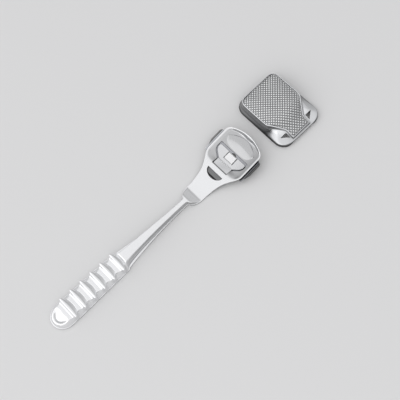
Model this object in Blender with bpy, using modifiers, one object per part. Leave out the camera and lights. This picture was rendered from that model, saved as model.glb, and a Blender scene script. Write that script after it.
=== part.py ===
"""Foot scraper: a stamped steel tool with a clamped blade, and its clip-on rasp cover beside it.

Metres, +Z up. +Y runs from the grip to the tip of the head, X is across the tool. The tool lies clamp side
up on z = 0 and the rasp cover lies beyond the tip, so the origin is the middle of the pair's footprint.
"""

import bmesh
import bpy
from math import asin, atan2, cos, pi, radians, sin, sqrt, tan
from mathutils import Vector

# Sheet and fits
SHEET = 0.0008
THIN_SHEET = 0.0007
BLADE_THICKNESS = 0.0002
CLEARANCE = 0.0003
CUT_OVERRUN = 0.002

# Placing of the pair
TOOL_X = 0.0025
REST_GAP = 0.0105

# Grip, measured from the tail end
TAIL_LENGTH = 0.009
TAIL_HALF = 0.0061
RIB_COUNT = 6
FIRST_RIB = 0.0143
RIB_PITCH = 0.0083
RIB_HALF_TAIL = 0.0083
RIB_HALF_NECK = 0.0074
RIB_RISE = 0.0016
RIB_HEAD_FOOT = 0.0026
RIB_TAIL_FOOT = 0.0021
RIB_BOW = 0.0009
RIB_CREST = 0.0008
VALLEY_HALF_TAIL = 0.0055
VALLEY_HALF_NECK = 0.0045
GRIP_HEIGHT = 0.0052
BASE_MARGIN = 0.0003
LIP_HEIGHT = 0.0040
GROOVE_HEIGHT = 0.0030
LIP_INSET = 0.0028
LIP_WALL = 0.0017
TONGUE_FALL = 0.0003

# Shaft and neck
SHAFT_END = 0.0597
SHAFT_HALF = 0.0041
SHAFT_BASE_HALF = 0.0067
SHAFT_HEIGHT = 0.0064
NECK_START = 0.1153
NECK_HALF = 0.0014
NECK_BASE_HALF = 0.0024
NECK_HEIGHT = 0.0047
FLANGE_WIDE = 0.0015
FLANGE_NARROW = 0.0004
SPADE_END = 0.1236
BEND_START = 0.1260

# Head, measured back from the tip in its own tilted frame, z up from the rim
HEAD_LENGTH = 0.0487
HEAD_HALF = 0.01545
SPADE_HALF = 0.0069
TIP_RADIUS = 0.0270
CORNER_RADIUS = 0.0045
RIM_WIDTH = 0.0006
RIM_FILLET = 0.0020
DISH_DEPTH = 0.00287
DISH_FULL_Y = 0.0230
DISH_END_Y = 0.0292
BOW_RADIUS = 0.0450
CLAMP_DROP = 0.00013

# Raised lens of the dish
LENS_HALF = 0.0116
LENS_TOP_Y = 0.0030
LENS_CORNER_Y = 0.0077
LENS_FOLD_Y = 0.0105
LENS_END_Y = 0.0139
LENS_RISE = 0.0012
LENS_BEVEL = 0.0006
LENS_END_SHARE = 0.97

# Window, strap and thumb hole
WINDOW_TOP_Y = 0.0142
WINDOW_HALF = 0.0122
WINDOW_WING_Y = 0.0248
WINDOW_SIDE_Y = 0.0186
WINDOW_STEM_HALF = 0.0066
STRAP_Y = 0.0289
STRAP_WIDTH = 0.0033
THUMB_HOLE_HALF = 0.0065
THUMB_HOLE_DEPTH = 0.0047

# Blade
BLADE_HALF = 0.0168
BLADE_FRONT_Y = 0.0082
BLADE_LENGTH = 0.0172
BLADE_HOLE_RADIUS = 0.0022

# Clamp plate
CLAMP_SIDE_GAP = 0.0009
CLAMP_FRONT_GAP = 0.0005
CLAMP_STRAP_GAP = 0.0004
CLAMP_MOUTH = 0.0018
CLAMP_PIVOT_Y = 0.0306
CLAMP_TAIL_Y = 0.0354
PAD_HALF = 0.0035
PAD_FRONT_Y = 0.0161
PAD_LENGTH = 0.0055
PAD_SLOT = 0.0005

# Sole plate
SOLE_FRONT_Y = 0.0035
SOLE_LOW_Y = 0.02613
LOBE_FRONT_Y = 0.0078
LOBE_HALF = 0.0181
LOBE_BACK_Y = 0.0248
LOBE_CORNER = 0.0021
SOLE_BACK_SPACE = 0.0041
FLOOR_LIFT = 0.0001
SOLE_BACK_HALF = 0.0064
MOUTH_OVERLAP = 0.0008
MOUTH_LENGTH = 0.0024
MOUTH_HALF = 0.0122

# Rasp cover, measured from its closed end along X
RASP_LENGTH = 0.0424
RASP_HALF = 0.0159
RASP_CORNER_RADIUS = 0.0050
RASP_HEIGHT = 0.0094
RASP_DOME = 0.0016
SHOULDER_LENGTH = 0.0108
TONGUE_LENGTH = 0.0064
TONGUE_HALF = 0.0078
TONGUE_DROP = 0.0056
LIP_WIDTH = 0.0007
SHEET_DROP = 0.0004
SKIRT_FLARE = 0.0025
SKIRT_END_FLARE = 0.0014
SKIRT_END_RADIUS = 0.0080
CARRIER_SHEET = 0.0006
RASP_SHEET = 0.0005
TONGUE_WALL = 0.0013
PLATE_HEIGHT = 0.0047
PLATE_END_HEIGHT = 0.0025
END_LIP = 0.0008
CORNER_SLOT_SETBACK = 0.0006
CORNER_SLOT_LENGTH = 0.0040
CORNER_SLOT_WIDTH = 0.0052
CORNER_SLOT_SPACE = 0.0012

# Worked out from the sizes above
SECTION_COLUMNS = 8
CLAMP_TOP = DISH_DEPTH + CLAMP_DROP
BLADE_TOP = CLAMP_TOP + THIN_SHEET + CLEARANCE
SOLE_TOP = BLADE_TOP + BLADE_THICKNESS + CLEARANCE
SOLE_FLAT_Y = CLAMP_TAIL_Y
SOLE_BACK_Y = STRAP_Y + STRAP_WIDTH + THUMB_HOLE_DEPTH + SOLE_BACK_SPACE
HEAD_REACH = HEAD_LENGTH - SOLE_LOW_Y
HEAD_DEPTH = SOLE_TOP + THIN_SHEET
HEAD_TILT = atan2(HEAD_DEPTH, HEAD_REACH) - asin(SHEET / sqrt(HEAD_REACH ** 2 + HEAD_DEPTH ** 2))
TOOL_LENGTH = BEND_START + HEAD_LENGTH * cos(HEAD_TILT)
TIP_Z = SHEET + HEAD_LENGTH * sin(HEAD_TILT)
SHOULDER_END = RASP_LENGTH - TONGUE_LENGTH
SHOULDER_START = SHOULDER_END - SHOULDER_LENGTH
RASP_DEPTH = 2.0 * (RASP_HALF + SKIRT_FLARE)
TAIL_Y = -(TOOL_LENGTH + REST_GAP + RASP_DEPTH) / 2.0
RASP_Y = TAIL_Y + TOOL_LENGTH + REST_GAP + RASP_DEPTH / 2.0
RASP_X = -(RASP_LENGTH + SKIRT_END_FLARE - SKIRT_FLARE) / 2.0


def clear_scene():
    """Start from an empty file without closing the script that runs."""
    for item in list(bpy.data.objects):
        bpy.data.objects.remove(item, do_unlink=True)


def new_collection(name):
    collection = bpy.data.collections.new(name)
    bpy.context.scene.collection.children.link(collection)
    return collection


def steel(name, colour, roughness):
    """A bare metal finish."""
    material = bpy.data.materials.new(name)
    material.use_nodes = True
    shader = material.node_tree.nodes["Principled BSDF"]
    shader.inputs["Base Color"].default_value = (*colour, 1.0)
    shader.inputs["Metallic"].default_value = 1.0
    shader.inputs["Roughness"].default_value = roughness
    return material


def blend(low, high, share):
    return low + (high - low) * share


def ease(share):
    """A smooth step from 0 to 1."""
    share = min(max(share, 0.0), 1.0)
    return share * share * (3.0 - 2.0 * share)


def bow(x):
    """Height of the blade's cylinder over its lowest line, at x across."""
    return BOW_RADIUS - sqrt(BOW_RADIUS * BOW_RADIUS - x * x)


def table_value(table, place):
    """Read a table of (place, value) rows, straight between rows."""
    for (low, low_value), (high, high_value) in zip(table, table[1:]):
        if place <= high:
            return blend(low_value, high_value, (place - low) / (high - low))
    return table[-1][1]


def sheet_object(name, rows, collection):
    """A surface through rows of points, each row as long as the next."""
    mesh = bpy.data.meshes.new(name)
    bm = bmesh.new()
    lines = [[bm.verts.new(point) for point in row] for row in rows]
    for row, following in zip(lines, lines[1:]):
        for place in range(len(row) - 1):
            bm.faces.new((row[place], row[place + 1], following[place + 1], following[place]))
    bmesh.ops.remove_doubles(bm, verts=bm.verts, dist=CLEARANCE / 100.0)
    bmesh.ops.recalc_face_normals(bm, faces=bm.faces)
    bm.normal_update()
    if sum(face.normal.z * face.calc_area() for face in bm.faces) < 0.0:
        bmesh.ops.reverse_faces(bm, faces=bm.faces)
    bm.to_mesh(mesh)
    bm.free()
    item = bpy.data.objects.new(name, mesh)
    collection.objects.link(item)
    return item


def add_mirror(item):
    mirror = item.modifiers.new("Mirror", "MIRROR")
    mirror.use_axis[0] = True
    mirror.use_clip = True
    mirror.merge_threshold = 0.00001


def add_wall(item, thickness):
    """Give a surface its sheet thickness, downwards."""
    wall = item.modifiers.new("Sheet", "SOLIDIFY")
    wall.thickness = thickness
    wall.offset = -1.0
    wall.use_even_offset = True
    wall.use_quality_normals = True


def add_boolean(item, other, operation):
    boolean = item.modifiers.new(other.name, "BOOLEAN")
    boolean.operation = operation
    boolean.object = other
    boolean.solver = "EXACT"


def outline_solid(name, outline, low, high, collection):
    """A flat closed outline in XY, made solid from low to high in Z, as a mesh."""
    curve = bpy.data.curves.new(name, "CURVE")
    curve.dimensions = "2D"
    curve.fill_mode = "BOTH"
    curve.extrude = (high - low) / 2.0
    spline = curve.splines.new("POLY")
    spline.points.add(len(outline) - 1)
    for point, (x, y) in zip(spline.points, outline):
        point.co = (x, y, 0.0, 1.0)
    spline.use_cyclic_u = True
    guide = bpy.data.objects.new(name + "_outline", curve)
    collection.objects.link(guide)
    guide.location.z = (high + low) / 2.0
    bpy.context.view_layer.update()
    evaluated = guide.evaluated_get(bpy.context.evaluated_depsgraph_get())
    mesh = bpy.data.meshes.new_from_object(evaluated)
    mesh.transform(guide.matrix_world)
    bpy.data.objects.remove(guide, do_unlink=True)
    bm = bmesh.new()
    bm.from_mesh(mesh)
    bmesh.ops.remove_doubles(bm, verts=bm.verts, dist=CLEARANCE / 100.0)
    bmesh.ops.recalc_face_normals(bm, faces=bm.faces)
    bm.to_mesh(mesh)
    bm.free()
    item = bpy.data.objects.new(name, mesh)
    collection.objects.link(item)
    return item


def as_cutter(item, parent):
    item.hide_render = True
    item.display_type = "WIRE"
    item.parent = parent
    return item


def finish(item, material, parent=None):
    item.data.materials.clear()
    item.data.materials.append(material)
    item.parent = parent
    item.data.shade_smooth()
    item.data.set_sharp_from_angle(angle=radians(35.0))
    return item


def mirrored(half):
    """A closed outline from its right half, listed from front to back."""
    return [(x, y) for x, y in half] + [(-x, y) for x, y in reversed(half) if x > 0.0]


def head_outline():
    """Right half of the head's rim from the tip back to the bend, with the spine point each runs to."""
    centre_x = HEAD_HALF - CORNER_RADIUS
    reach = TIP_RADIUS - CORNER_RADIUS
    centre_y = -TIP_RADIUS + sqrt(reach * reach - centre_x * centre_x)
    tangent = asin(centre_x / reach)
    tip_steps = 5
    corner_steps = 4
    points = []
    for step in range(tip_steps):
        angle = tangent * step / tip_steps
        points.append((TIP_RADIUS * sin(angle), TIP_RADIUS * cos(angle) - TIP_RADIUS))
    for step in range(corner_steps + 1):
        angle = blend(tangent, pi / 2.0, step / corner_steps)
        points.append((centre_x + CORNER_RADIUS * sin(angle), centre_y + CORNER_RADIUS * cos(angle)))
    fan_end = centre_y
    fan_start = -CORNER_RADIUS
    fan = [blend(fan_start, fan_end, step / (len(points) - 1)) for step in range(len(points))]
    rows = [((x, y), (0.0, spine)) for (x, y), spine in zip(points, fan)]
    side_shares = (0.22, 0.30, 0.38, 0.485, 0.52, 0.554, 0.59, 0.625, 0.684, 0.746, 0.821, 0.896, 0.952)
    for share in side_shares:
        rows.append(((head_half(share), -share * HEAD_LENGTH), (0.0, -share * HEAD_LENGTH)))
    return rows


def head_half(share):
    """Half width of the head and spade at a share of the head's length from the tip."""
    half_shares = (
        (0.0, 1.0), (0.485, 1.0), (0.52, 0.968), (0.554, 0.912), (0.59, 0.84), (0.625, 0.768),
        (0.684, 0.660), (0.746, 0.572), (0.821, 0.510), (0.896, 0.474), (1.0, SPADE_HALF / HEAD_HALF),
    )
    return HEAD_HALF * table_value(half_shares, share)


def dish_height(x, y, inward):
    """Top of the dished head over its rim plane."""
    side = ease((inward - RIM_WIDTH) / RIM_FILLET)
    fade = ease((y + DISH_END_Y) / (DISH_END_Y - DISH_FULL_Y))
    return -(DISH_DEPTH - bow(x)) * side * fade


def head_to_tool(x, y, z):
    """A point of the head's tilted frame in the tool's own frame, whose origin is the tail end."""
    along = TOOL_LENGTH + y * cos(HEAD_TILT) - z * sin(HEAD_TILT)
    up = TIP_Z + y * sin(HEAD_TILT) + z * cos(HEAD_TILT)
    return Vector((x, along, up))


def inward_places(length):
    """Distances from the rim to the spine: close together over the rim, then even."""
    fillet_shares = (0.0, 0.35, 0.7, 1.0)
    rim = [0.0] + [RIM_WIDTH + RIM_FILLET * share for share in fillet_shares]
    rest = SECTION_COLUMNS - len(rim)
    return rim + [blend(rim[-1], length, (step + 1) / rest) for step in range(rest)]


def head_rows():
    rows = []
    for (edge_x, edge_y), (spine_x, spine_y) in head_outline():
        length = sqrt((edge_x - spine_x) ** 2 + (edge_y - spine_y) ** 2)
        row = []
        for inward in inward_places(length):
            share = inward / length
            x = blend(edge_x, spine_x, share)
            y = blend(edge_y, spine_y, share)
            row.append(head_to_tool(x, y, dish_height(x, y, inward)))
        rows.append(row)
    return rows


def bend_rows():
    """The gentle bend where the tilted spade comes down to the level of the base."""
    rows = []
    reach = BEND_START - SPADE_END
    radius = reach / tan(HEAD_TILT / 2.0)
    steps = 4
    for step in range(1, steps + 1):
        angle = blend(HEAD_TILT, 0.0, step / steps)
        along = SPADE_END + radius * sin(angle)
        up = SHEET + radius * (1.0 - cos(angle))
        rows.append([Vector((SPADE_HALF - inward, along, up)) for inward in inward_places(SPADE_HALF)])
    return rows


def section(base, flange, crown, height, along, bow_in=0.0):
    """Right half of a raised hollow section, from the flange's edge to the middle."""
    wall_foot = base - flange
    wall_shares = ((0.0, 0.0), (0.18, 0.16), (0.62, 0.62), (1.0, 0.90))
    crown_shares = (0.90, 0.45, 0.0)
    points = [(base, SHEET)]
    points += [(blend(wall_foot, crown, inward), blend(SHEET, height, rise)) for inward, rise in wall_shares]
    points += [(crown * share, height) for share in crown_shares]
    return [Vector((x, along + bow_in * (1.0 - min(x / crown, 1.0) ** 2), z)) for x, z in points]


def neck_rows():
    """The funnel where the flat spade draws in and rises to the neck, then the shaft down to the ribs."""
    rows = []
    funnel_shares = (0.08, 0.22, 0.40, 0.60, 0.80, 0.94, 1.0)
    for share in funnel_shares:
        along = blend(SPADE_END, NECK_START, share)
        width_share = sqrt(1.0 - share * share)
        base = blend(NECK_BASE_HALF, SPADE_HALF, width_share)
        crown = blend(NECK_HALF, SPADE_HALF - RIM_WIDTH - FLANGE_NARROW, width_share)
        rows.append(section(base, FLANGE_NARROW, crown, blend(SHEET, NECK_HEIGHT, ease(share)), along))
    # Along the shaft: share of its length, then of the crown, base, height and flange between neck and ribs
    shaft_shares = (
        (0.22, 0.06, 0.04, 0.28, 0.08), (0.39, 0.19, 0.15, 0.68, 0.28), (0.56, 0.33, 0.32, 0.97, 0.54),
        (0.72, 0.52, 0.52, 1.0, 0.77), (0.89, 0.73, 0.80, 1.0, 0.96), (1.0, 1.0, 1.0, 1.0, 0.40),
    )
    for along_share, crown_share, base_share, height_share, flange_share in shaft_shares:
        rows.append(section(
            blend(NECK_BASE_HALF, SHAFT_BASE_HALF, base_share),
            blend(FLANGE_NARROW, FLANGE_WIDE, flange_share),
            blend(NECK_HALF, SHAFT_HALF, crown_share),
            blend(NECK_HEIGHT, SHAFT_HEIGHT, height_share),
            blend(NECK_START, SHAFT_END, along_share),
        ))
    return rows


def grip_rows():
    """Six ribs with scalloped valleys between them, from the neck to the tail."""
    # Over one rib: its place from the crest's line, then shares of the bow, width, rise and flange
    places = (
        (RIB_HEAD_FOOT, (1.0, 0.05, 0.0, 1.0)),
        (RIB_HEAD_FOOT / 2.0, (0.5, 0.45, 0.75, 0.5)),
        (RIB_CREST / 2.0, (0.0, 1.0, 1.0, 0.25)),
        (-RIB_CREST / 2.0, (0.0, 0.95, 1.0, 0.25)),
        (-RIB_TAIL_FOOT / 2.0 - RIB_CREST / 4.0, (0.0, 0.66, 0.4, 0.5)),
        (-RIB_TAIL_FOOT, (0.0, 0.42, 0.0, 1.0)),
        (-(RIB_TAIL_FOOT + RIB_PITCH - RIB_HEAD_FOOT) / 2.0, (0.0, 0.08, 0.0, 1.0)),
    )
    rows = []
    for rib in reversed(range(RIB_COUNT)):
        neck_share = rib / (RIB_COUNT - 1)
        line = FIRST_RIB + rib * RIB_PITCH
        crest_half = blend(RIB_HALF_TAIL, RIB_HALF_NECK, neck_share)
        valley_half = blend(VALLEY_HALF_TAIL, VALLEY_HALF_NECK, neck_share)
        for offset, (bow_share, width_share, rise_share, flange_share) in places if rib else places[:-1]:
            rows.append(section(
                crest_half + BASE_MARGIN,
                FLANGE_NARROW * flange_share,
                blend(valley_half, crest_half, width_share),
                GRIP_HEIGHT + RIB_RISE * rise_share,
                line + offset,
                RIB_BOW * bow_share,
            ))
    return rows


def tail_rows():
    """The rounded tail: a lip round its end, and a groove between the lip and the last valley."""
    base = RIB_HALF_TAIL + BASE_MARGIN
    wall = base - TAIL_HALF
    # Inward and upward shares, over the wall at the sides and over the lip at the end
    side_shares = ((0.0, 0.0), (0.18, 0.0), (0.32, 0.18), (0.62, 0.62), (1.0, 0.92), (1.3, 1.0), (2.3, 1.0))
    end_shares = ((0.0, 0.0), (0.14, 0.0), (0.22, 0.3), (0.5, 0.8), (0.85, 1.0), (1.15, 1.0))
    rows = []
    steps = 7
    for step in range(steps + 1):
        angle = blend(pi / 2.0, 0.0, step / steps)
        edge = Vector((base * sin(angle), TAIL_LENGTH * (1.0 - cos(angle)), 0.0))
        spine = Vector((0.0, blend(TAIL_LENGTH - LIP_INSET / 2.0, TAIL_LENGTH, sin(angle)), 0.0))
        length = (spine - edge).length
        end_share = cos(angle) ** 1.5
        side = [(wall * inward, blend(SHEET, GRIP_HEIGHT, rise)) for inward, rise in side_shares]
        side.append((length, GRIP_HEIGHT))
        end = [(LIP_INSET * inward, blend(SHEET, LIP_HEIGHT, rise)) for inward, rise in end_shares]
        end += [(LIP_INSET + LIP_WALL, GROOVE_HEIGHT), (length, GRIP_HEIGHT - TONGUE_FALL)]
        row = []
        for (side_in, side_up), (end_in, end_up) in zip(side, end):
            place = edge.lerp(spine, blend(side_in, end_in, end_share) / length)
            row.append(Vector((place.x, place.y, blend(side_up, end_up, end_share))))
        rows.append(row)
    return rows


def lens_boss(collection):
    """The raised lens of the dish: a crown up to its fold, then a slope down to the window."""
    steps = 12
    crown = LENS_RISE - DISH_DEPTH
    rings = []
    for step in range(steps + 1):
        share = (-1.0 + 2.0 * step / steps) * LENS_END_SHARE
        x = LENS_HALF * share
        floor = bow(x) - DISH_DEPTH
        front = -LENS_CORNER_Y + (LENS_CORNER_Y - LENS_TOP_Y) * (1.0 - share * share)
        back = -LENS_CORNER_Y - (LENS_END_Y - LENS_CORNER_Y) * sqrt(1.0 - share ** 4)
        fold = max(-LENS_FOLD_Y, (front + back) / 2.0)
        level = max(crown, floor + CLEARANCE)
        front_slope = min(LENS_BEVEL, (front - fold) / 2.0)
        rings.append([
            head_to_tool(x, front, floor - SHEET / 2.0),
            head_to_tool(x, front, floor),
            head_to_tool(x, front - front_slope, level),
            head_to_tool(x, fold, level),
            head_to_tool(x, back, floor),
            head_to_tool(x, back, floor - SHEET / 2.0),
        ])
    return ring_solid("lens_boss", rings, collection)


def ring_solid(name, rings, collection):
    """A closed solid through closed rings of points, capped at both ends."""
    bm = bmesh.new()
    lines = [[bm.verts.new(point) for point in ring] for ring in rings]
    for line, following in zip(lines, lines[1:]):
        count = len(line)
        for place in range(count):
            other = (place + 1) % count
            bm.faces.new((line[place], line[other], following[other], following[place]))
    bm.faces.new(lines[0][::-1])
    bm.faces.new(lines[-1])
    bmesh.ops.recalc_face_normals(bm, faces=bm.faces)
    mesh = bpy.data.meshes.new(name)
    bm.to_mesh(mesh)
    bm.free()
    item = bpy.data.objects.new(name, mesh)
    collection.objects.link(item)
    return item


def wing_corner_half(share):
    """How far the window's slanted corner stands out of its stem, from its wing's side to its stem."""
    corner_shares = ((0.0, 1.0), (0.36, 0.84), (0.62, 0.52), (0.84, 0.2), (1.0, 0.0))
    return table_value(corner_shares, share)


def window_half(place, inset):
    """Half width of the T-shaped window, drawn in by inset, at a place back from the tip."""
    corner = WINDOW_HALF - WINDOW_STEM_HALF
    share = (place - WINDOW_SIDE_Y) / (WINDOW_WING_Y - WINDOW_SIDE_Y)
    return WINDOW_STEM_HALF - inset + corner * wing_corner_half(min(max(share, 0.0), 1.0))


def window_outline():
    """The T-shaped window in the dish."""
    half = [(0.0, -WINDOW_TOP_Y), (WINDOW_HALF - CLAMP_SIDE_GAP, -WINDOW_TOP_Y),
            (WINDOW_HALF, -WINDOW_TOP_Y - CLAMP_SIDE_GAP)]
    steps = 6
    for step in range(steps + 1):
        place = blend(WINDOW_SIDE_Y, WINDOW_WING_Y, step / steps)
        half.append((window_half(place, 0.0), -place))
    half += [(WINDOW_STEM_HALF, -STRAP_Y), (0.0, -STRAP_Y)]
    return mirrored(half)


def thumb_hole_outline():
    """The D-shaped hole behind the strap, its flat side towards the tip."""
    front = -STRAP_Y - STRAP_WIDTH
    half = [(0.0, front), (THUMB_HOLE_HALF, front)]
    steps = 6
    for step in range(1, steps + 1):
        angle = (pi / 2.0) * step / steps
        half.append((THUMB_HOLE_HALF * cos(angle), front - THUMB_HOLE_DEPTH * sin(angle)))
    return mirrored(half)


def build_handle(material, parts, cutters, tool_frame, head_frame):
    """One stamping: head, spade, neck, shaft, ribbed grip and tail."""
    rows = head_rows() + bend_rows() + neck_rows() + grip_rows() + tail_rows()
    handle = sheet_object("handle", rows, parts)
    add_mirror(handle)
    add_wall(handle, SHEET)
    boss = as_cutter(lens_boss(cutters), tool_frame)
    add_boolean(handle, boss, "UNION")
    low = -SOLE_TOP
    high = SHEET + CUT_OVERRUN
    for name, outline in (("window_cut", window_outline()), ("thumb_hole_cut", thumb_hole_outline())):
        cut = as_cutter(outline_solid(name, outline, low, high, cutters), head_frame)
        add_boolean(handle, cut, "DIFFERENCE")
    return finish(handle, material, tool_frame)


def build_sole(material, parts, cutters, head_frame):
    """The bowed plate under the head, with its side lobes and the mouth for the blade's edge."""
    low_top = -SOLE_TOP
    rear_top = -SHEET - CLEARANCE
    front_top = -DISH_DEPTH - SHEET - CLEARANCE
    flat_top = (SOLE_FLAT_Y * sin(HEAD_TILT) - TIP_Z + THIN_SHEET + FLOOR_LIFT) / cos(HEAD_TILT)
    inner_half = HEAD_HALF - RIM_WIDTH
    lobe_taper_shares = (0.62, 0.86)
    lobe_narrow_share = 0.93
    front_share = 0.86
    back_taper_share = 1.4
    taper_start, taper_end = (blend(LOBE_FRONT_Y, LOBE_BACK_Y, share) for share in lobe_taper_shares)
    widths = (
        (SOLE_FRONT_Y, inner_half * front_share),
        (LOBE_FRONT_Y, inner_half),
        (LOBE_FRONT_Y + THIN_SHEET, LOBE_HALF - THIN_SHEET),
        (LOBE_FRONT_Y + LOBE_CORNER, LOBE_HALF),
        (taper_start, LOBE_HALF),
        (taper_end, LOBE_HALF * lobe_narrow_share),
        (LOBE_BACK_Y, inner_half),
        (SOLE_LOW_Y, inner_half * lobe_narrow_share),
        ((SOLE_LOW_Y + SOLE_BACK_Y) / 2.0, SOLE_BACK_HALF * back_taper_share),
        (SOLE_BACK_Y, SOLE_BACK_HALF),
    )
    depths = (
        (SOLE_FRONT_Y, front_top), (LOBE_FRONT_Y - 2.0 * THIN_SHEET, low_top), (SOLE_LOW_Y, low_top),
        (SOLE_FLAT_Y, flat_top), (SOLE_BACK_Y, rear_top),
    )
    places = [row[0] for row in widths] + [row[0] for row in depths]
    places.append((SOLE_LOW_Y + SOLE_FLAT_Y) / 2.0)
    rows = []
    columns = 6
    for place in sorted(set(places)):
        half = table_value(widths, place)
        level = table_value(depths, place)
        curve_share = 1.0 - ease((place - SOLE_LOW_Y) / (SOLE_BACK_Y - SOLE_LOW_Y))
        row = []
        for column in range(columns + 1):
            x = half * (1.0 - column / columns)
            row.append(Vector((x, -place, level + bow(x) * curve_share)))
        rows.append(row)
    sole = sheet_object("sole_plate", rows, parts)
    add_mirror(sole)
    add_wall(sole, THIN_SHEET)
    mouth_front = MOUTH_OVERLAP - BLADE_FRONT_Y - BLADE_LENGTH
    mouth_back = mouth_front - MOUTH_LENGTH
    mouth = [(0.0, mouth_front), (MOUTH_HALF, mouth_front), (MOUTH_HALF, mouth_back), (0.0, mouth_back)]
    cut = outline_solid("mouth_cut", mirrored(mouth), -SOLE_TOP - CUT_OVERRUN, 0.0, cutters)
    add_boolean(sole, as_cutter(cut, head_frame), "DIFFERENCE")
    return finish(sole, material, head_frame)


def build_blade(material, parts, cutters, blade_pivot):
    """The thin blade, bowed on the sole, made about the axis of its bow."""
    rows = []
    columns = 10
    for y in (-BLADE_FRONT_Y, -BLADE_FRONT_Y - BLADE_LENGTH):
        row = []
        for column in range(columns + 1):
            x = BLADE_HALF * (1.0 - column / columns)
            row.append(Vector((x, y, bow(x) - BOW_RADIUS)))
        rows.append(row)
    blade = sheet_object("blade", rows, parts)
    add_mirror(blade)
    add_wall(blade, BLADE_THICKNESS)
    sides = 12
    middle = -BLADE_FRONT_Y - BLADE_LENGTH / 2.0
    angles = [2.0 * pi * side / sides for side in range(sides)]
    hole = [(BLADE_HOLE_RADIUS * cos(angle), middle + BLADE_HOLE_RADIUS * sin(angle)) for angle in angles]
    cut = outline_solid("blade_hole_cut", hole, -BOW_RADIUS - CUT_OVERRUN, CUT_OVERRUN - BOW_RADIUS, cutters)
    add_boolean(blade, as_cutter(cut, blade_pivot), "DIFFERENCE")
    return finish(blade, material, blade_pivot)


def build_clamp(material, parts, cutters, clamp_pivot):
    """The T-shaped sprung plate: wings and square pad in the window, stem under the strap."""
    wing_front = WINDOW_TOP_Y + CLAMP_MOUTH
    wing_back = WINDOW_WING_Y - CLAMP_SIDE_GAP
    stem_half = WINDOW_STEM_HALF - CLAMP_FRONT_GAP
    stem_top = -SHEET - CLAMP_STRAP_GAP
    wing_top = -CLAMP_TOP
    widths = [(wing_front, WINDOW_HALF - 2.0 * CLAMP_SIDE_GAP)]
    widths.append((wing_front + CLAMP_SIDE_GAP, WINDOW_HALF - CLAMP_SIDE_GAP))
    corner_shares = (0.0, 0.3, 0.6, 0.85, 1.0)
    for share in corner_shares:
        place = blend(WINDOW_SIDE_Y - CLAMP_SIDE_GAP, wing_back, share)
        widths.append((place, max(window_half(place + CLAMP_SIDE_GAP, CLAMP_SIDE_GAP), stem_half)))
    widths += [(CLAMP_TAIL_Y - CLAMP_SIDE_GAP, stem_half), (CLAMP_TAIL_Y, stem_half - CLAMP_SIDE_GAP)]
    bend_share = 0.8
    levels = (
        (wing_front, wing_top), (wing_back, wing_top), (blend(wing_back, STRAP_Y, bend_share), stem_top),
        (CLAMP_TAIL_Y, stem_top),
    )
    places = [row[0] for row in widths] + [row[0] for row in levels]
    rows = []
    columns = 6
    pivot = Vector((0.0, -CLAMP_PIVOT_Y, stem_top - THIN_SHEET / 2.0))
    for place in sorted(set(places)):
        half = table_value(widths, place)
        level = table_value(levels, place)
        curve_share = min(max((level - stem_top) / (wing_top - stem_top), 0.0), 1.0)
        row = []
        for column in range(columns + 1):
            x = half * (1.0 - column / columns)
            row.append(Vector((x, -place, level + bow(x) * curve_share)) - pivot)
        rows.append(row)
    clamp = sheet_object("clamp_plate", rows, parts)
    add_mirror(clamp)
    add_wall(clamp, THIN_SHEET)
    for side in (-1.0, 1.0):
        inner = side * PAD_HALF
        outer = side * (PAD_HALF + PAD_SLOT)
        front = -PAD_FRONT_Y
        back = -PAD_FRONT_Y - PAD_LENGTH
        slot = [(inner, front), (outer, front), (outer, back), (inner, back)]
        slot = [(x, y - pivot.y) for x, y in slot]
        name = "pad_slot_cut_left" if side < 0.0 else "pad_slot_cut_right"
        cut = outline_solid(name, slot, -CUT_OVERRUN - SOLE_TOP, CUT_OVERRUN, cutters)
        add_boolean(clamp, as_cutter(cut, clamp_pivot), "DIFFERENCE")
    return finish(clamp, material, clamp_pivot)


def rasp_outline(inset):
    """Half outline of the rasp from its closed end to the tongue, drawn in by inset."""
    half = RASP_HALF - inset
    tongue = TONGUE_HALF - inset
    corner = RASP_CORNER_RADIUS - inset
    corner_steps = 3
    shoulder_steps = 6
    points = [(inset, 0.0)]
    for step in range(corner_steps + 1):
        angle = (pi / 2.0) * step / corner_steps
        points.append((inset + corner * (1.0 - cos(angle)), half - corner * (1.0 - sin(angle))))
    points.append((blend(RASP_CORNER_RADIUS, SHOULDER_START, 0.5), half))
    for step in range(shoulder_steps + 1):
        share = step / shoulder_steps
        place = blend(SHOULDER_START, SHOULDER_END, share) - inset / 2.0
        points.append((place, blend(half, tongue, share)))
    points.append(((SHOULDER_END + RASP_LENGTH) / 2.0 - inset, tongue))
    points.append((RASP_LENGTH - inset, tongue))
    points.append((RASP_LENGTH - inset, 0.0))
    return points


def rasp_level(x):
    """Height of the carrier's lip, which falls along the tongue."""
    fall = ease((x - SHOULDER_START) / (RASP_LENGTH - SHOULDER_START)) * TONGUE_DROP
    return RASP_HEIGHT - fall


def closed(half):
    """The whole of an outline that runs from the closed end to the tongue's end, from its half."""
    return half + [(x, -y) for x, y in reversed(half[1:-1])]


def foot_outline():
    """Half outline of the skirt's foot: along the rasp's sides, then on round the tongue's corner."""
    sides = rasp_outline(-SKIRT_FLARE)
    half = RASP_HALF + SKIRT_FLARE
    end = RASP_LENGTH + SKIRT_END_FLARE
    arc_x = end - SKIRT_END_RADIUS
    arc_y = half - SKIRT_END_RADIUS
    points = sides[:-10]
    straight_steps = 3
    for step in range(straight_steps + 1):
        points.append((blend(SHOULDER_START, arc_x, step / straight_steps), half))
    arc_steps = 4
    for step in range(1, arc_steps + 1):
        angle = (pi / 2.0) * step / arc_steps
        points.append((arc_x + SKIRT_END_RADIUS * sin(angle), arc_y + SKIRT_END_RADIUS * cos(angle)))
    points.append((end, TONGUE_HALF))
    points.append((end, 0.0))
    return points


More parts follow.
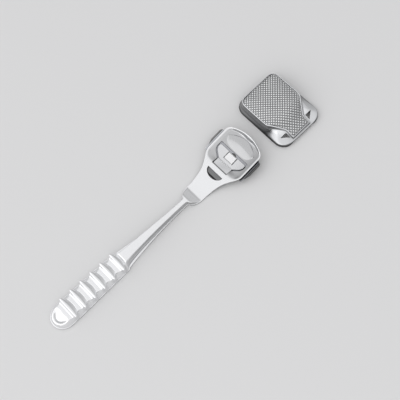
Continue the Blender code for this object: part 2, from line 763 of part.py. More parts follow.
def build_rasp_sheet(material, parts, rasp_frame):
    """The domed, cross-hatched sheet inside the carrier's lip."""
    edge = closed(rasp_outline(LIP_WIDTH + CLEARANCE))
    spine_start = RASP_HALF
    spine_end = RASP_LENGTH - TONGUE_HALF
    rows = []
    dome_shares = (0.0, 0.10, 0.40, 1.0)
    for share in dome_shares:
        row = []
        for edge_x, edge_y in edge + edge[:1]:
            x = blend(edge_x, min(max(edge_x, spine_start), spine_end), share)
            y = blend(edge_y, 0.0, share)
            width_share = abs(edge_y) / RASP_HALF if edge_x > SHOULDER_START else 1.0
            dome = RASP_DOME * width_share * (1.0 - (1.0 - share) ** 2)
            row.append(Vector((x, y, rasp_level(x) - SHEET_DROP + dome)))
        rows.append(row)
    sheet = sheet_object("rasp_sheet", rows, parts)
    add_wall(sheet, RASP_SHEET)
    return finish(sheet, material, rasp_frame)


def build_rasp_carrier(material, parts, cutters, rasp_frame):
    """The pressed frame: rolled lip and wall round the rasp, flared skirt, and the plates beside the tongue."""
    edge = closed(rasp_outline(0.0))
    foot = closed(foot_outline())
    tongue_middle = (SHOULDER_END + RASP_LENGTH) / 2.0
    # From the lip to the foot: the inset, beside the rasp the shares of its height and flare, and beside
    # the tongue the shares of the fall from wall to plate, of the fall from plate to foot and of the flare
    rows = []
    profile_shares = (
        (LIP_WIDTH, (1.0, 0.0), (0.0, 0.0, 0.0)),
        (CARRIER_SHEET / 2.0, (1.0, 0.0), (0.0, 0.0, 0.0)),
        (0.0, (0.93, 0.0), (0.0, 0.0, 0.0)),
        (0.0, (0.60, 0.06), (0.0, 0.0, 0.05)),
        (0.0, (0.46, 0.32), (0.5, 0.0, 0.5)),
        (0.0, (0.36, 0.90), (1.0, 0.0, 0.96)),
        (0.0, (0.26, 1.0), (1.0, 0.3, 1.0)),
        (0.0, (0.0, 1.0), (1.0, 1.0, 1.0)),
    )
    for level, (inset, beside_rasp, beside_tongue) in enumerate(profile_shares):
        height_share, side_flare = beside_rasp
        plate_share, foot_share, plate_flare = beside_tongue
        row = []
        for (x, y), (edge_x, edge_y), (foot_x, foot_y) in zip(closed(rasp_outline(inset)), edge, foot):
            tongue = ease((edge_x - SHOULDER_START) / (SHOULDER_END - SHOULDER_START))
            opening = ease((edge_x - tongue_middle) / (RASP_LENGTH - tongue_middle))
            along_share = max(edge_x - SHOULDER_START, 0.0) / (RASP_LENGTH - SHOULDER_START)
            top = rasp_level(x if inset else edge_x)
            wall = top - CARRIER_SHEET / 2.0 if level == 2 else top - TONGUE_WALL
            plate = blend(PLATE_HEIGHT, PLATE_END_HEIGHT, along_share)
            down = blend(blend(wall, plate, plate_share), opening * (plate - END_LIP), foot_share)
            flare = blend(side_flare, plate_flare, tongue)
            place = Vector((x + (foot_x - edge_x) * flare, y + (foot_y - edge_y) * flare, 0.0))
            place.z = top if inset else blend(top * height_share, down, tongue)
            row.append(place)
        rows.append(row + row[:1])
    carrier = sheet_object("rasp_carrier", rows, parts)
    add_wall(carrier, CARRIER_SHEET)
    for side in (-1.0, 1.0):
        near = side * (TONGUE_HALF + CORNER_SLOT_SPACE)
        far = near + side * CORNER_SLOT_WIDTH
        start = SHOULDER_END + CORNER_SLOT_SETBACK
        slot = [(start, near), (start + CORNER_SLOT_LENGTH, near), (start, far)]
        name = "corner_slot_cut_left" if side < 0.0 else "corner_slot_cut_right"
        cut = outline_solid(name, slot, 0.0, RASP_HEIGHT, cutters)
        add_boolean(carrier, as_cutter(cut, rasp_frame), "DIFFERENCE")
    return finish(carrier, material, rasp_frame)


def main():
    clear_scene()
    parts = new_collection("foot_scraper")
    cutters = new_collection("cutters")
    polished = steel("polished_steel", (0.82, 0.83, 0.84), 0.16)
    dark = steel("pressed_steel", (0.45, 0.46, 0.47), 0.30)
    ground = steel("ground_steel", (0.62, 0.63, 0.65), 0.22)
    hatched = steel("hatched_steel", (0.55, 0.56, 0.58), 0.35)

    tool_frame = bpy.data.objects.new("tool_frame", None)
    tool_frame.location = (TOOL_X, TAIL_Y, 0.0)
    head_frame = bpy.data.objects.new("head_frame", None)
    head_frame.parent = tool_frame
    head_frame.location = (0.0, TOOL_LENGTH, TIP_Z)
    head_frame.rotation_euler = (HEAD_TILT, 0.0, 0.0)
    clamp_pivot = bpy.data.objects.new("clamp_pivot", None)
    clamp_pivot.parent = head_frame
    clamp_pivot.location = (0.0, -CLAMP_PIVOT_Y, -SHEET - CLAMP_STRAP_GAP - THIN_SHEET / 2.0)
    blade_pivot = bpy.data.objects.new("blade_pivot", None)
    blade_pivot.parent = head_frame
    blade_pivot.location = (0.0, 0.0, BOW_RADIUS - BLADE_TOP)
    rasp_frame = bpy.data.objects.new("rasp_frame", None)
    rasp_frame.location = (RASP_X, RASP_Y, 0.0)
    for empty in (tool_frame, head_frame, clamp_pivot, blade_pivot, rasp_frame):
        parts.objects.link(empty)

    build_handle(polished, parts, cutters, tool_frame, head_frame)
    build_sole(dark, parts, cutters, head_frame)
    build_blade(ground, parts, cutters, blade_pivot)
    build_clamp(polished, parts, cutters, clamp_pivot)
    build_rasp_sheet(hatched, parts, rasp_frame)
    build_rasp_carrier(polished, parts, cutters, rasp_frame)


main()
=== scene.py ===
"""Looks of the foot scraper and its rasp cover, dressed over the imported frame."""

from math import asin, cos, pi, radians, sin, sqrt

import bpy
from mathutils import Matrix, Vector


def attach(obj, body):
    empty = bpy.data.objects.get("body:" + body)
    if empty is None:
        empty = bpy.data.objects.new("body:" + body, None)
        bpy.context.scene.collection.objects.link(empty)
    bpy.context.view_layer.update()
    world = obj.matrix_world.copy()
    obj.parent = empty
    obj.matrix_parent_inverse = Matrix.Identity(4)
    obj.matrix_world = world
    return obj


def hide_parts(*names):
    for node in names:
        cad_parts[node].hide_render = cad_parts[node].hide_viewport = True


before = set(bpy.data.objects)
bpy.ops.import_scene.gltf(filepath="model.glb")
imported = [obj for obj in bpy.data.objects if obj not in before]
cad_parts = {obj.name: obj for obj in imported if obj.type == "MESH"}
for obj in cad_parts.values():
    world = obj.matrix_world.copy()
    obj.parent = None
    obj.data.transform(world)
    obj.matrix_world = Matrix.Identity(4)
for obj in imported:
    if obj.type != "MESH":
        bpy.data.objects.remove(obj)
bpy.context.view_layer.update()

# Camera, at the photograph's angle: from above the tool's right side, with the grip at the lower left of the
# picture and the head and the rasp cover at its upper right.

CAMERA_PLACE = (0.188248, -0.089673, 0.564007)
CAMERA_ACROSS = (0.68798, 0.72013, -0.08998)
CAMERA_UPWARD = (-0.66077, 0.67285, 0.33264)
CAMERA_BACKWARD = (0.30008, -0.16940, 0.93875)
CAMERA_SENSOR = 36.0
CAMERA_LENS = 83.3355
CAMERA_NEAR = 0.01

bpy.ops.object.camera_add(location=CAMERA_PLACE)
camera = bpy.context.object
camera.name = "photo_camera"
camera.rotation_euler = Matrix((CAMERA_ACROSS, CAMERA_UPWARD, CAMERA_BACKWARD)).transposed().to_euler()
camera.data.sensor_width = CAMERA_SENSOR
camera.data.lens = CAMERA_LENS
camera.data.clip_start = CAMERA_NEAR
bpy.context.scene.camera = camera

# Floor: a plain pale surface, which keeps the object's soft shadow.

FLOOR_SIZE = 4.0
FLOOR_DROP = 0.00001
FLOOR_GREY = 0.76
FLOOR_ROUGHNESS = 0.7

bpy.ops.object.select_all(action="DESELECT")
bpy.ops.mesh.primitive_plane_add(size=FLOOR_SIZE, location=(0.0, 0.0, -FLOOR_DROP))
floor = bpy.context.object
floor.name = "pale_floor"
floor_paint = bpy.data.materials.new("pale_floor")
floor_paint.use_nodes = True
floor_shader = floor_paint.node_tree.nodes["Principled BSDF"]
floor_shader.inputs["Base Color"].default_value = (FLOOR_GREY, FLOOR_GREY, FLOOR_GREY, 1.0)
floor_shader.inputs["Roughness"].default_value = FLOOR_ROUGHNESS
floor.data.materials.append(floor_paint)

# Studio light: one broad soft lamp beyond the grip's end and a weak one from the right, in a tent that is pale
# overhead and towards the grip's end, and darker round the other sides, so that polished steel shows its form.

KEY_PLACE = (-0.5, -1.2, 1.0)
KEY_SIZE = 1.7
KEY_WATTS = 4.2
FILL_PLACE = (0.6, -0.5, 0.5)
FILL_SIZE = 1.2
FILL_WATTS = 1.2

lamps = (("key_softbox", KEY_PLACE, KEY_SIZE, KEY_WATTS), ("fill_softbox", FILL_PLACE, FILL_SIZE, FILL_WATTS))
for name, place, size, watts in lamps:
    bpy.ops.object.light_add(type="AREA", location=place)
    lamp = bpy.context.object
    lamp.name = name
    lamp.data.size = size
    lamp.data.energy = watts
    lamp.rotation_euler = (-lamp.location).to_track_quat("-Z", "Y").to_euler()

# The tent's greys overhead go by the height of the direction, and round the sides by how far it points to the
# grip's end. Each stop is a place on the ramp and its grey.
TENT_OVERHEAD = ((0.0, 0.50), (0.50, 0.64), (0.70, 0.80), (0.85, 0.90), (1.0, 0.94))
TENT_SIDES = ((0.0, 0.66), (0.14, 0.58), (0.21, 0.40), (0.30, 0.32), (0.48, 0.44), (0.70, 0.68), (0.90, 0.96))
TENT_BLUE = 1.01
TENT_FIRST_BLUE = 1.02
GRIP_DIRECTION = (-0.35, -0.94, 0.0)
OVERHEAD_START = 0.50
OVERHEAD_END = 0.78
TENT_STRENGTH = 1.0


def map_range(tree, from_low, from_high, to_low=0.0, to_high=1.0, kind="LINEAR"):
    """A Map Range node with its limits set."""
    node = tree.nodes.new("ShaderNodeMapRange")
    node.interpolation_type = kind
    limits = (("From Min", from_low), ("From Max", from_high), ("To Min", to_low), ("To Max", to_high))
    for limit, value in limits:
        node.inputs[limit].default_value = value
    return node


def tent_ramp(tree, name, stops):
    """A ramp of greys that are a trace bluer than neutral, most of all at the first stop."""
    ramp = tree.nodes.new("ShaderNodeValToRGB")
    ramp.name = name
    ramp.color_ramp.interpolation = "EASE"
    elements = ramp.color_ramp.elements
    for element, (place, grey), blue in zip(elements, (stops[0], stops[-1]), (TENT_FIRST_BLUE, TENT_BLUE)):
        element.position = place
        element.color = (grey, grey, grey * blue, 1.0)
    for place, grey in stops[1:-1]:
        elements.new(place).color = (grey, grey, grey * TENT_BLUE, 1.0)
    return ramp


tent = bpy.data.worlds.new("light_tent")
bpy.context.scene.world = tent
tent.use_nodes = True
tree = tent.node_tree
tree.nodes.clear()
direction = tree.nodes.new("ShaderNodeTexCoord")
parts = tree.nodes.new("ShaderNodeSeparateXYZ")
overhead = tent_ramp(tree, "overhead", TENT_OVERHEAD)
towards = tree.nodes.new("ShaderNodeVectorMath")
towards.operation = "DOT_PRODUCT"
towards.inputs[1].default_value = GRIP_DIRECTION
turn = map_range(tree, -1.0, 1.0)
sides = tent_ramp(tree, "sides", TENT_SIDES)
rise = map_range(tree, OVERHEAD_START, OVERHEAD_END, kind="SMOOTHSTEP")
blending = tree.nodes.new("ShaderNodeMix")
blending.data_type = "RGBA"
glow = tree.nodes.new("ShaderNodeBackground")
glow.inputs["Strength"].default_value = TENT_STRENGTH
output = tree.nodes.new("ShaderNodeOutputWorld")
tree.links.new(direction.outputs["Generated"], parts.inputs["Vector"])
tree.links.new(parts.outputs["Z"], overhead.inputs["Fac"])
tree.links.new(parts.outputs["Z"], rise.inputs["Value"])
tree.links.new(direction.outputs["Generated"], towards.inputs[0])
tree.links.new(towards.outputs["Value"], turn.inputs["Value"])
tree.links.new(turn.outputs["Result"], sides.inputs["Fac"])
tree.links.new(rise.outputs["Result"], blending.inputs["Factor"])
tree.links.new(sides.outputs["Color"], blending.inputs["A"])
tree.links.new(overhead.outputs["Color"], blending.inputs["B"])
tree.links.new(blending.outputs["Result"], glow.inputs["Color"])
tree.links.new(glow.outputs["Background"], output.inputs["Surface"])

bpy.context.scene.view_settings.view_transform = "Standard"

# Handle: one stamping of polished sheet steel, from the dished head over the neck to the ribbed grip.
# It is made as one half over rows of points across the tool, from its tip to its tail, then mirrored,
# rounded and given its sheet.

TOOL_X = 0.0025
TAIL_Y = -0.110553
TOOL_LENGTH = 0.173806
SHEET = 0.0008
HEAD_TILT = radians(10.9948)
TIP_Z = 0.010088
HEAD_LENGTH = 0.0487
HEAD_HALF = 0.01545
SPADE_HALF = 0.0069
TIP_RADIUS = 0.0270
TIP_STEPS = 7
CORNER_RADIUS = 0.0045
HEAD_CORNER_STEPS = 5
RIM_WIDTH = 0.0004
RIM_FILLET = 0.0021
DISH_DEPTH = 0.00287
DISH_FULL_Y = 0.0230
DISH_END_Y = 0.0292
BOW_RADIUS = 0.0450
HANDLE_COLUMNS = 12
QUARTER_TURN = pi / 2.0


def blend(low, high, share):
    return low + (high - low) * share


def ease(share):
    share = min(max(share, 0.0), 1.0)
    return share * share * (3.0 - 2.0 * share)


def table_value(table, place):
    """The value at place in a table of places and values, with straight lines between them."""
    for (low, low_value), (high, high_value) in zip(table, table[1:]):
        if place <= high:
            return blend(low_value, high_value, (place - low) / (high - low))
    return table[-1][1]


def bow(x):
    """How far the bowed head rises at x from its middle."""
    return BOW_RADIUS - sqrt(BOW_RADIUS * BOW_RADIUS - x * x)


def head_to_tool(x, y, z):
    """From the head's tilted frame, which starts at the tip, to the tool's level one, which starts at the tail."""
    along = TOOL_LENGTH + y * cos(HEAD_TILT) - z * sin(HEAD_TILT)
    return Vector((x, along, TIP_Z + y * sin(HEAD_TILT) + z * cos(HEAD_TILT)))


def head_half(share):
    """Half width of the head at a share of its length behind the tip."""
    half_shares = (
        (0.0, 1.0), (0.485, 1.0), (0.52, 0.968), (0.554, 0.912), (0.59, 0.84), (0.625, 0.768),
        (0.684, 0.660), (0.746, 0.572), (0.821, 0.510), (0.896, 0.474), (1.0, SPADE_HALF / HEAD_HALF),
    )
    return HEAD_HALF * table_value(half_shares, share)


def dish_height(x, y, inward):
    """Height of the dish: down from the rim over its fillet, and fading out towards the spade."""
    side = ease((inward - RIM_WIDTH) / RIM_FILLET)
    fade = ease((y + DISH_END_Y) / (DISH_END_Y - DISH_FULL_Y))
    return -(DISH_DEPTH - bow(x)) * side * fade


def inward_places(length):
    """Places of a row's points inwards from the edge: close over rim and fillet, then even."""
    rim = [RIM_WIDTH * share for share in (0.0, 0.3, 1.0)]
    rim += [RIM_WIDTH + RIM_FILLET * share for share in (0.3, 0.65, 1.0)]
    rest = HANDLE_COLUMNS - len(rim)
    return rim + [blend(rim[-1], length, (step + 1) / rest) for step in range(rest)]


def head_rows():
    """Rows from the tip's arc round the corner and down the head's side, each from its edge to the spine."""
    centre_x = HEAD_HALF - CORNER_RADIUS
    reach = TIP_RADIUS - CORNER_RADIUS
    centre_y = -TIP_RADIUS + sqrt(reach * reach - centre_x * centre_x)
    tangent = asin(centre_x / reach)
    edges = []
    for step in range(TIP_STEPS):
        angle = tangent * step / TIP_STEPS
        edges.append((TIP_RADIUS * sin(angle), TIP_RADIUS * cos(angle) - TIP_RADIUS))
    for step in range(HEAD_CORNER_STEPS + 1):
        angle = blend(tangent, QUARTER_TURN, step / HEAD_CORNER_STEPS)
        edges.append((centre_x + CORNER_RADIUS * sin(angle), centre_y + CORNER_RADIUS * cos(angle)))
    spines = [blend(-CORNER_RADIUS, centre_y, step / (len(edges) - 1)) for step in range(len(edges))]
    row_shares = (
        0.22, 0.27, 0.32, 0.37, 0.42, 0.46, 0.485, 0.505, 0.525, 0.55, 0.58, 0.61, 0.64, 0.68, 0.72, 0.76, 0.80,
        0.84, 0.88, 0.92, 0.952,
    )
    for share in row_shares:
        edges.append((head_half(share), -share * HEAD_LENGTH))
        spines.append(-share * HEAD_LENGTH)
    rows = []
    for (edge_x, edge_y), spine_y in zip(edges, spines):
        length = sqrt(edge_x ** 2 + (edge_y - spine_y) ** 2)
        row = []
        for inward in inward_places(length):
            x = blend(edge_x, 0.0, inward / length)
            y = blend(edge_y, spine_y, inward / length)
            row.append(head_to_tool(x, y, dish_height(x, y, inward)))
        rows.append(row)
    return rows


SPADE_END = 0.1236
BEND_REACH = 0.0024
BEND_STEPS = 5


def bend_rows():
    """The flat spade's bend from the head's tilt to the level of the neck."""
    rows = []
    radius = BEND_REACH / sin(HEAD_TILT / 2.0)
    for step in range(1, BEND_STEPS + 1):
        angle = blend(HEAD_TILT, 0.0, step / BEND_STEPS)
        place = (SPADE_END + radius * sin(angle), SHEET + radius * (1.0 - cos(angle)))
        rows.append([Vector((SPADE_HALF - inward, *place)) for inward in inward_places(SPADE_HALF)])
    return rows


def section(base, flange, crown, height, along, bow_in=0.0):
    """Right half of the raised hollow section, from the flange's edge to the middle of the crown."""
    foot = base - flange
    wall_shares = ((0.0, 0.0), (0.06, 0.05), (0.25, 0.22), (0.55, 0.55), (0.85, 0.85), (1.0, 0.97))
    crown_shares = (0.93, 0.72, 0.45, 0.22, 0.0)
    points = [(base, SHEET)]
    points += [(blend(foot, crown, inward), blend(SHEET, height, rise)) for inward, rise in wall_shares]
    points += [(crown * share, height) for share in crown_shares]
    return [Vector((x, along + bow_in * (1.0 - min(x / crown, 1.0) ** 2), z)) for x, z in points]


NECK_START = 0.1153
NECK_HALF = 0.0014
NECK_BASE_HALF = 0.0024
NECK_HEIGHT = 0.0047
SHAFT_END = 0.0597
SHAFT_HALF = 0.0041
SHAFT_BASE_HALF = 0.0067
SHAFT_HEIGHT = 0.0064
FLANGE_WIDE = 0.0015
FLANGE_NARROW = 0.0004


def neck_rows():
    """The spade's sides run together into the neck, which widens over the shaft to the grip."""
    rows = []
    neck_shares = (0.05, 0.15, 0.28, 0.42, 0.56, 0.70, 0.82, 0.91, 0.97, 1.0)
    for share in neck_shares:
        width_share = sqrt(1.0 - share * share)
        rows.append(section(
            blend(NECK_BASE_HALF, SPADE_HALF, width_share),
            FLANGE_NARROW,
            blend(NECK_HALF, SPADE_HALF - RIM_WIDTH - FLANGE_NARROW, width_share),
            blend(SHEET, NECK_HEIGHT, ease(share)),
            blend(SPADE_END, NECK_START, share),
        ))
    shaft_shares = (
        (0.08, 0.02, 0.01, 0.10, 0.02), (0.22, 0.06, 0.04, 0.28, 0.08), (0.39, 0.19, 0.15, 0.68, 0.28),
        (0.56, 0.33, 0.32, 0.97, 0.54), (0.72, 0.52, 0.52, 1.0, 0.77), (0.89, 0.73, 0.80, 1.0, 0.96),
        (0.97, 0.90, 0.96, 1.0, 0.70), (1.0, 1.0, 1.0, 1.0, 0.40),
    )
    for along_share, crown_share, base_share, height_share, flange_share in shaft_shares:
        rows.append(section(
            blend(NECK_BASE_HALF, SHAFT_BASE_HALF, base_share),
            blend(FLANGE_NARROW, FLANGE_WIDE, flange_share),
            blend(NECK_HALF, SHAFT_HALF, crown_share),
            blend(NECK_HEIGHT, SHAFT_HEIGHT, height_share),
            blend(NECK_START, SHAFT_END, along_share),
        ))
    return rows


RIB_COUNT = 6
FIRST_RIB = 0.0143
RIB_PITCH = 0.0083
RIB_HALF_TAIL = 0.0083
RIB_HALF_NECK = 0.0074
VALLEY_HALF_TAIL = 0.0055
VALLEY_HALF_NECK = 0.0045
RIB_RISE = 0.0016
RIB_BOW = 0.0009
GRIP_HEIGHT = 0.0052
BASE_MARGIN = 0.0003


def grip_rows():
    """Six ribs: from each rib's front foot over its crest to the valley behind it.

    Each row of rib_rows is a place along the tool from the crest, and then shares of the rib's bow, of the way
    from the valley's width to the crest's, of the rise and of the flange.
    """
    rib_rows = (
        (0.0030, 0.9, 0.0, 0.00, 1.0), (0.0026, 1.0, 0.05, -0.07, 1.0), (0.0023, 1.0, 0.14, 0.05, 0.8),
        (0.0012, 0.5, 0.48, 0.72, 0.5), (0.0005, 0.1, 0.84, 0.97, 0.3), (0.0, 0.0, 1.0, 1.0, 0.25),
        (-0.0005, 0.0, 0.92, 0.93, 0.3), (-0.0012, 0.0, 0.68, 0.42, 0.5), (-0.0019, 0.0, 0.47, 0.04, 0.9),
        (-0.0024, 0.0, 0.34, -0.02, 1.0), (-0.0040, 0.0, 0.07, 0.0, 1.0),
    )
    rows = []
    for rib in reversed(range(RIB_COUNT)):
        neck_share = rib / (RIB_COUNT - 1)
        line = FIRST_RIB + rib * RIB_PITCH
        crest_half = blend(RIB_HALF_TAIL, RIB_HALF_NECK, neck_share)
        valley_half = blend(VALLEY_HALF_TAIL, VALLEY_HALF_NECK, neck_share)
        for offset, bow_share, width_share, rise_share, flange_share in rib_rows if rib else rib_rows[:-1]:
            rows.append(section(
                crest_half + BASE_MARGIN,
                FLANGE_NARROW * flange_share,
                blend(valley_half, crest_half, width_share),
                GRIP_HEIGHT + RIB_RISE * rise_share,
                line + offset,
                RIB_BOW * bow_share,
            ))
    return rows


TAIL_LENGTH = 0.009
TAIL_HALF = 0.0061
TAIL_STEPS = 10
TAIL_FULLNESS = 0.6
LIP_HEIGHT = 0.0040
LIP_INSET = 0.0028


def tail_rows():
    """The rounded tail: a lip round its end, and a groove between the lip and the last valley's tongue.

    side_rows and end_rows are shares of the way in and of the rise, at the tail's side and at its end.
    """
    base = RIB_HALF_TAIL + BASE_MARGIN
    wall = base - TAIL_HALF
    side_rows = (
        (0.0, 0.0), (0.15, 0.0), (0.20, 0.05), (0.36, 0.22), (0.60, 0.55), (0.86, 0.85), (1.0, 0.97), (1.1, 1.0),
        (1.4, 1.0), (1.9, 1.0), (2.5, 1.0),
    )
    end_rows = (
        (0.0, 0.0), (0.13, 0.0), (0.17, 0.1), (0.24, 0.3), (0.4, 0.66), (0.6, 0.92), (0.8, 1.0), (1.05, 1.0),
        (1.25, 0.90), (1.4, 0.66), (1.6, 0.66),
    )
    rows = []
    for step in range(TAIL_STEPS + 1):
        angle = blend(QUARTER_TURN, 0.0, step / TAIL_STEPS)
        edge = Vector((base * sin(angle), TAIL_LENGTH * (1.0 - cos(angle)), 0.0))
        spine = Vector((0.0, blend(TAIL_LENGTH - LIP_INSET / 2.0, TAIL_LENGTH, sin(angle)), 0.0))
        length = (spine - edge).length
        end_share = cos(angle) ** TAIL_FULLNESS
        side = [(wall * inward, blend(SHEET, GRIP_HEIGHT, rise)) for inward, rise in side_rows]
        side.append((length, GRIP_HEIGHT))
        end = [(LIP_INSET * inward, blend(SHEET, LIP_HEIGHT, rise)) for inward, rise in end_rows]
        end.append((length, GRIP_HEIGHT - SHEET / 3.0))
        row = []
        for (side_in, side_up), (end_in, end_up) in zip(side, end):
            place = edge.lerp(spine, blend(side_in, end_in, end_share) / length)
            row.append(Vector((place.x, place.y, blend(side_up, end_up, end_share))))
        rows.append(row)
    return rows


MERGE_REACH = 0.000004
MIRROR_REACH = 0.00001
STEEL_SMOOTH_DEGREES = 32.0


def choose(item):
    """Select one piece alone and make it the active one."""
    bpy.ops.object.select_all(action="DESELECT")
    item.select_set(True)
    bpy.context.view_layer.objects.active = item


def pressed_grid(name, rows):
    """A flat grid, each of whose rows is then laid over a row of points."""
    columns = len(rows[0]) - 1
    lines = len(rows) - 1
    bpy.ops.object.select_all(action="DESELECT")
    bpy.ops.mesh.primitive_grid_add(x_subdivisions=columns, y_subdivisions=lines, size=2.0)
    item = bpy.context.object
    item.name = name
    item.data.name = name
    for vertex in item.data.vertices:
        column = round((vertex.co.x + 1.0) / 2.0 * columns)
        line = round((vertex.co.y + 1.0) / 2.0 * lines)
        vertex.co = rows[line][column]
    return item


def apply(item, kind, **settings):
    """Add a modifier with its settings and apply it."""
    choose(item)
    modifier = item.modifiers.new(kind.title(), kind)
    for setting, value in settings.items():
        setattr(modifier, setting, value)
    bpy.ops.object.modifier_apply(modifier=modifier.name)


def face_up(item):
    """Merge the doubles of an open sheet and turn its faces upwards."""
    choose(item)
    bpy.ops.object.mode_set(mode="EDIT")
    bpy.ops.mesh.select_all(action="SELECT")
    bpy.ops.mesh.remove_doubles(threshold=MERGE_REACH)
    bpy.ops.mesh.normals_make_consistent(inside=False)
    bpy.ops.object.mode_set(mode="OBJECT")
    if sum(face.normal.z * face.area for face in item.data.polygons) < 0.0:
        bpy.ops.object.mode_set(mode="EDIT")
        bpy.ops.mesh.flip_normals()
        bpy.ops.object.mode_set(mode="OBJECT")


def mirror(item):
    """Mirror an open half sheet across its own middle plane."""
    face_up(item)
    apply(item, "MIRROR", use_axis=(True, False, False), use_clip=True, merge_threshold=MIRROR_REACH)
    face_up(item)


def thicken(item, thickness, even=True):
    """Give an open sheet its thickness, downwards from its upper face."""
    apply(item, "SOLIDIFY", thickness=thickness, offset=-1.0, use_even_offset=even)


def prism(name, outline, low, high):
    """A straight-sided solid over an outline in XY."""
    bpy.ops.object.select_all(action="DESELECT")
    bpy.ops.mesh.primitive_circle_add(vertices=len(outline), radius=1.0, fill_type="NGON")
    item = bpy.context.object
    item.name = name
    for vertex, (x, y) in zip(item.data.vertices, outline):
        vertex.co = (x, y, low)
    bpy.ops.object.mode_set(mode="EDIT")
    bpy.ops.mesh.select_all(action="SELECT")
    bpy.ops.mesh.extrude_region_move(TRANSFORM_OT_translate={"value": (0.0, 0.0, high - low)})
    bpy.ops.mesh.select_all(action="SELECT")
    bpy.ops.mesh.normals_make_consistent(inside=False)
    bpy.ops.object.mode_set(mode="OBJECT")
    return item


def cut(item, cutter, operation="DIFFERENCE"):
    """Cut a piece with a solid, or join the solid to it, and remove the solid."""
    apply(item, "BOOLEAN", object=cutter, operation=operation, solver="EXACT")
    bpy.data.objects.remove(cutter, do_unlink=True)


def lay(item, matrix):
    """Move a piece's mesh to its place in the frame."""
    item.data.transform(matrix)
    item.data.update()


def smooth(item, degrees):
    choose(item)
    bpy.ops.object.shade_smooth_by_angle(angle=radians(degrees), keep_sharp_edges=False)


def mirrored(half):
    """A whole outline from its right half."""
    return [(x, y) for x, y in half] + [(-x, y) for x, y in reversed(half) if x > 0.0]


head_origin = (TOOL_X, TAIL_Y + TOOL_LENGTH, TIP_Z)
head_place = Matrix.Translation(head_origin) @ Matrix.Rotation(HEAD_TILT, 4, "X")
tool_place = Matrix.Translation((TOOL_X, TAIL_Y, 0.0))

stamping = pressed_grid("handle_stamping", head_rows() + bend_rows() + neck_rows() + grip_rows() + tail_rows())
mirror(stamping)
apply(stamping, "SUBSURF", levels=2, render_levels=2)
thicken(stamping, SHEET)
lay(stamping, tool_place)

# The lens is pressed up in the dish: a flat crown behind a short front slope, a fold across it, and a long
# slope down towards the window.

LENS_HALF = 0.0116
LENS_REACH_SHARE = 0.985
LENS_TOP_Y = 0.0030
LENS_CORNER_Y = 0.0077
LENS_FOLD_Y = 0.0105
LENS_END_Y = 0.0139
LENS_RISE = 0.0012
LENS_LEAST_RISE = 0.0003
LENS_BEVEL = 0.0006
LENS_FOLD_HALF = 0.0002
LENS_ROUNDING = 0.0001
LENS_SINK = 0.0002
LENS_SHEET = 0.0004
LENS_STEPS = 48

lens_rows = []
for step in range(LENS_STEPS + 1):
    share = (-1.0 + 2.0 * step / LENS_STEPS) * LENS_REACH_SHARE
    x = LENS_HALF * share
    floor_z = bow(x) - DISH_DEPTH
    front = -LENS_CORNER_Y + (LENS_CORNER_Y - LENS_TOP_Y) * (1.0 - share * share)
    back = -LENS_CORNER_Y - (LENS_END_Y - LENS_CORNER_Y) * sqrt(1.0 - share ** 4)
    fold = max(-LENS_FOLD_Y, (front + back) / 2.0)
    level = max(LENS_RISE - DISH_DEPTH, floor_z + LENS_LEAST_RISE)
    slope = min(LENS_BEVEL, (front - fold) / 2.0)
    lens_rows.append([
        (x, front, floor_z - LENS_SINK),
        (x, front - slope * 0.1, floor_z + LENS_ROUNDING),
        (x, front - slope * 0.8, level - LENS_ROUNDING),
        (x, front - slope, level),
        (x, blend(front - slope, fold, 0.5), level),
        (x, fold + LENS_FOLD_HALF, level),
        (x, fold - LENS_FOLD_HALF, level - LENS_ROUNDING / 2.0),
        (x, blend(fold, back, 0.9), blend(level, floor_z, 0.9)),
        (x, back, floor_z - LENS_ROUNDING),
        (x, back - LENS_ROUNDING, floor_z - LENS_SINK),
    ])
lens = pressed_grid("lens_press", [[Vector(point) for point in row] for row in lens_rows])
face_up(lens)
thicken(lens, LENS_SHEET)
lay(lens, head_place)
cut(stamping, lens, "UNION")

# The window for the clamp plate and the thumb hole behind it are punched through the head, which leaves
# the strap between them.

WINDOW_TOP_Y = 0.0142
WINDOW_HALF = 0.0122
WINDOW_WING_Y = 0.0248
WINDOW_SIDE_Y = 0.0186
WINDOW_STEM_HALF = 0.0066
WINDOW_CORNER_STEPS = 4
WINDOW_STEPS = 12
STRAP_Y = 0.0289
STRAP_WIDTH = 0.0033
THUMB_HOLE_HALF = 0.0065
THUMB_HOLE_DEPTH = 0.0047
THUMB_HOLE_STEPS = 12
PUNCH_LOW = -0.0045
PUNCH_HIGH = 0.0028
CLAMP_SIDE_GAP = 0.0009
CLAMP_FRONT_GAP = 0.0005
CLAMP_MOUTH = 0.0018


def window_half(place, inset):
    """Half width of the window at a place behind the tip, drawn in by inset."""
    corner_shares = (
        (0.0, 1.0), (0.2, 0.93), (0.36, 0.84), (0.5, 0.70), (0.62, 0.52), (0.74, 0.34), (0.84, 0.2), (1.0, 0.0),
    )
    share = (place - WINDOW_SIDE_Y) / (WINDOW_WING_Y - WINDOW_SIDE_Y)
    corner = (WINDOW_HALF - WINDOW_STEM_HALF) * table_value(corner_shares, min(max(share, 0.0), 1.0))
    return WINDOW_STEM_HALF - inset + corner


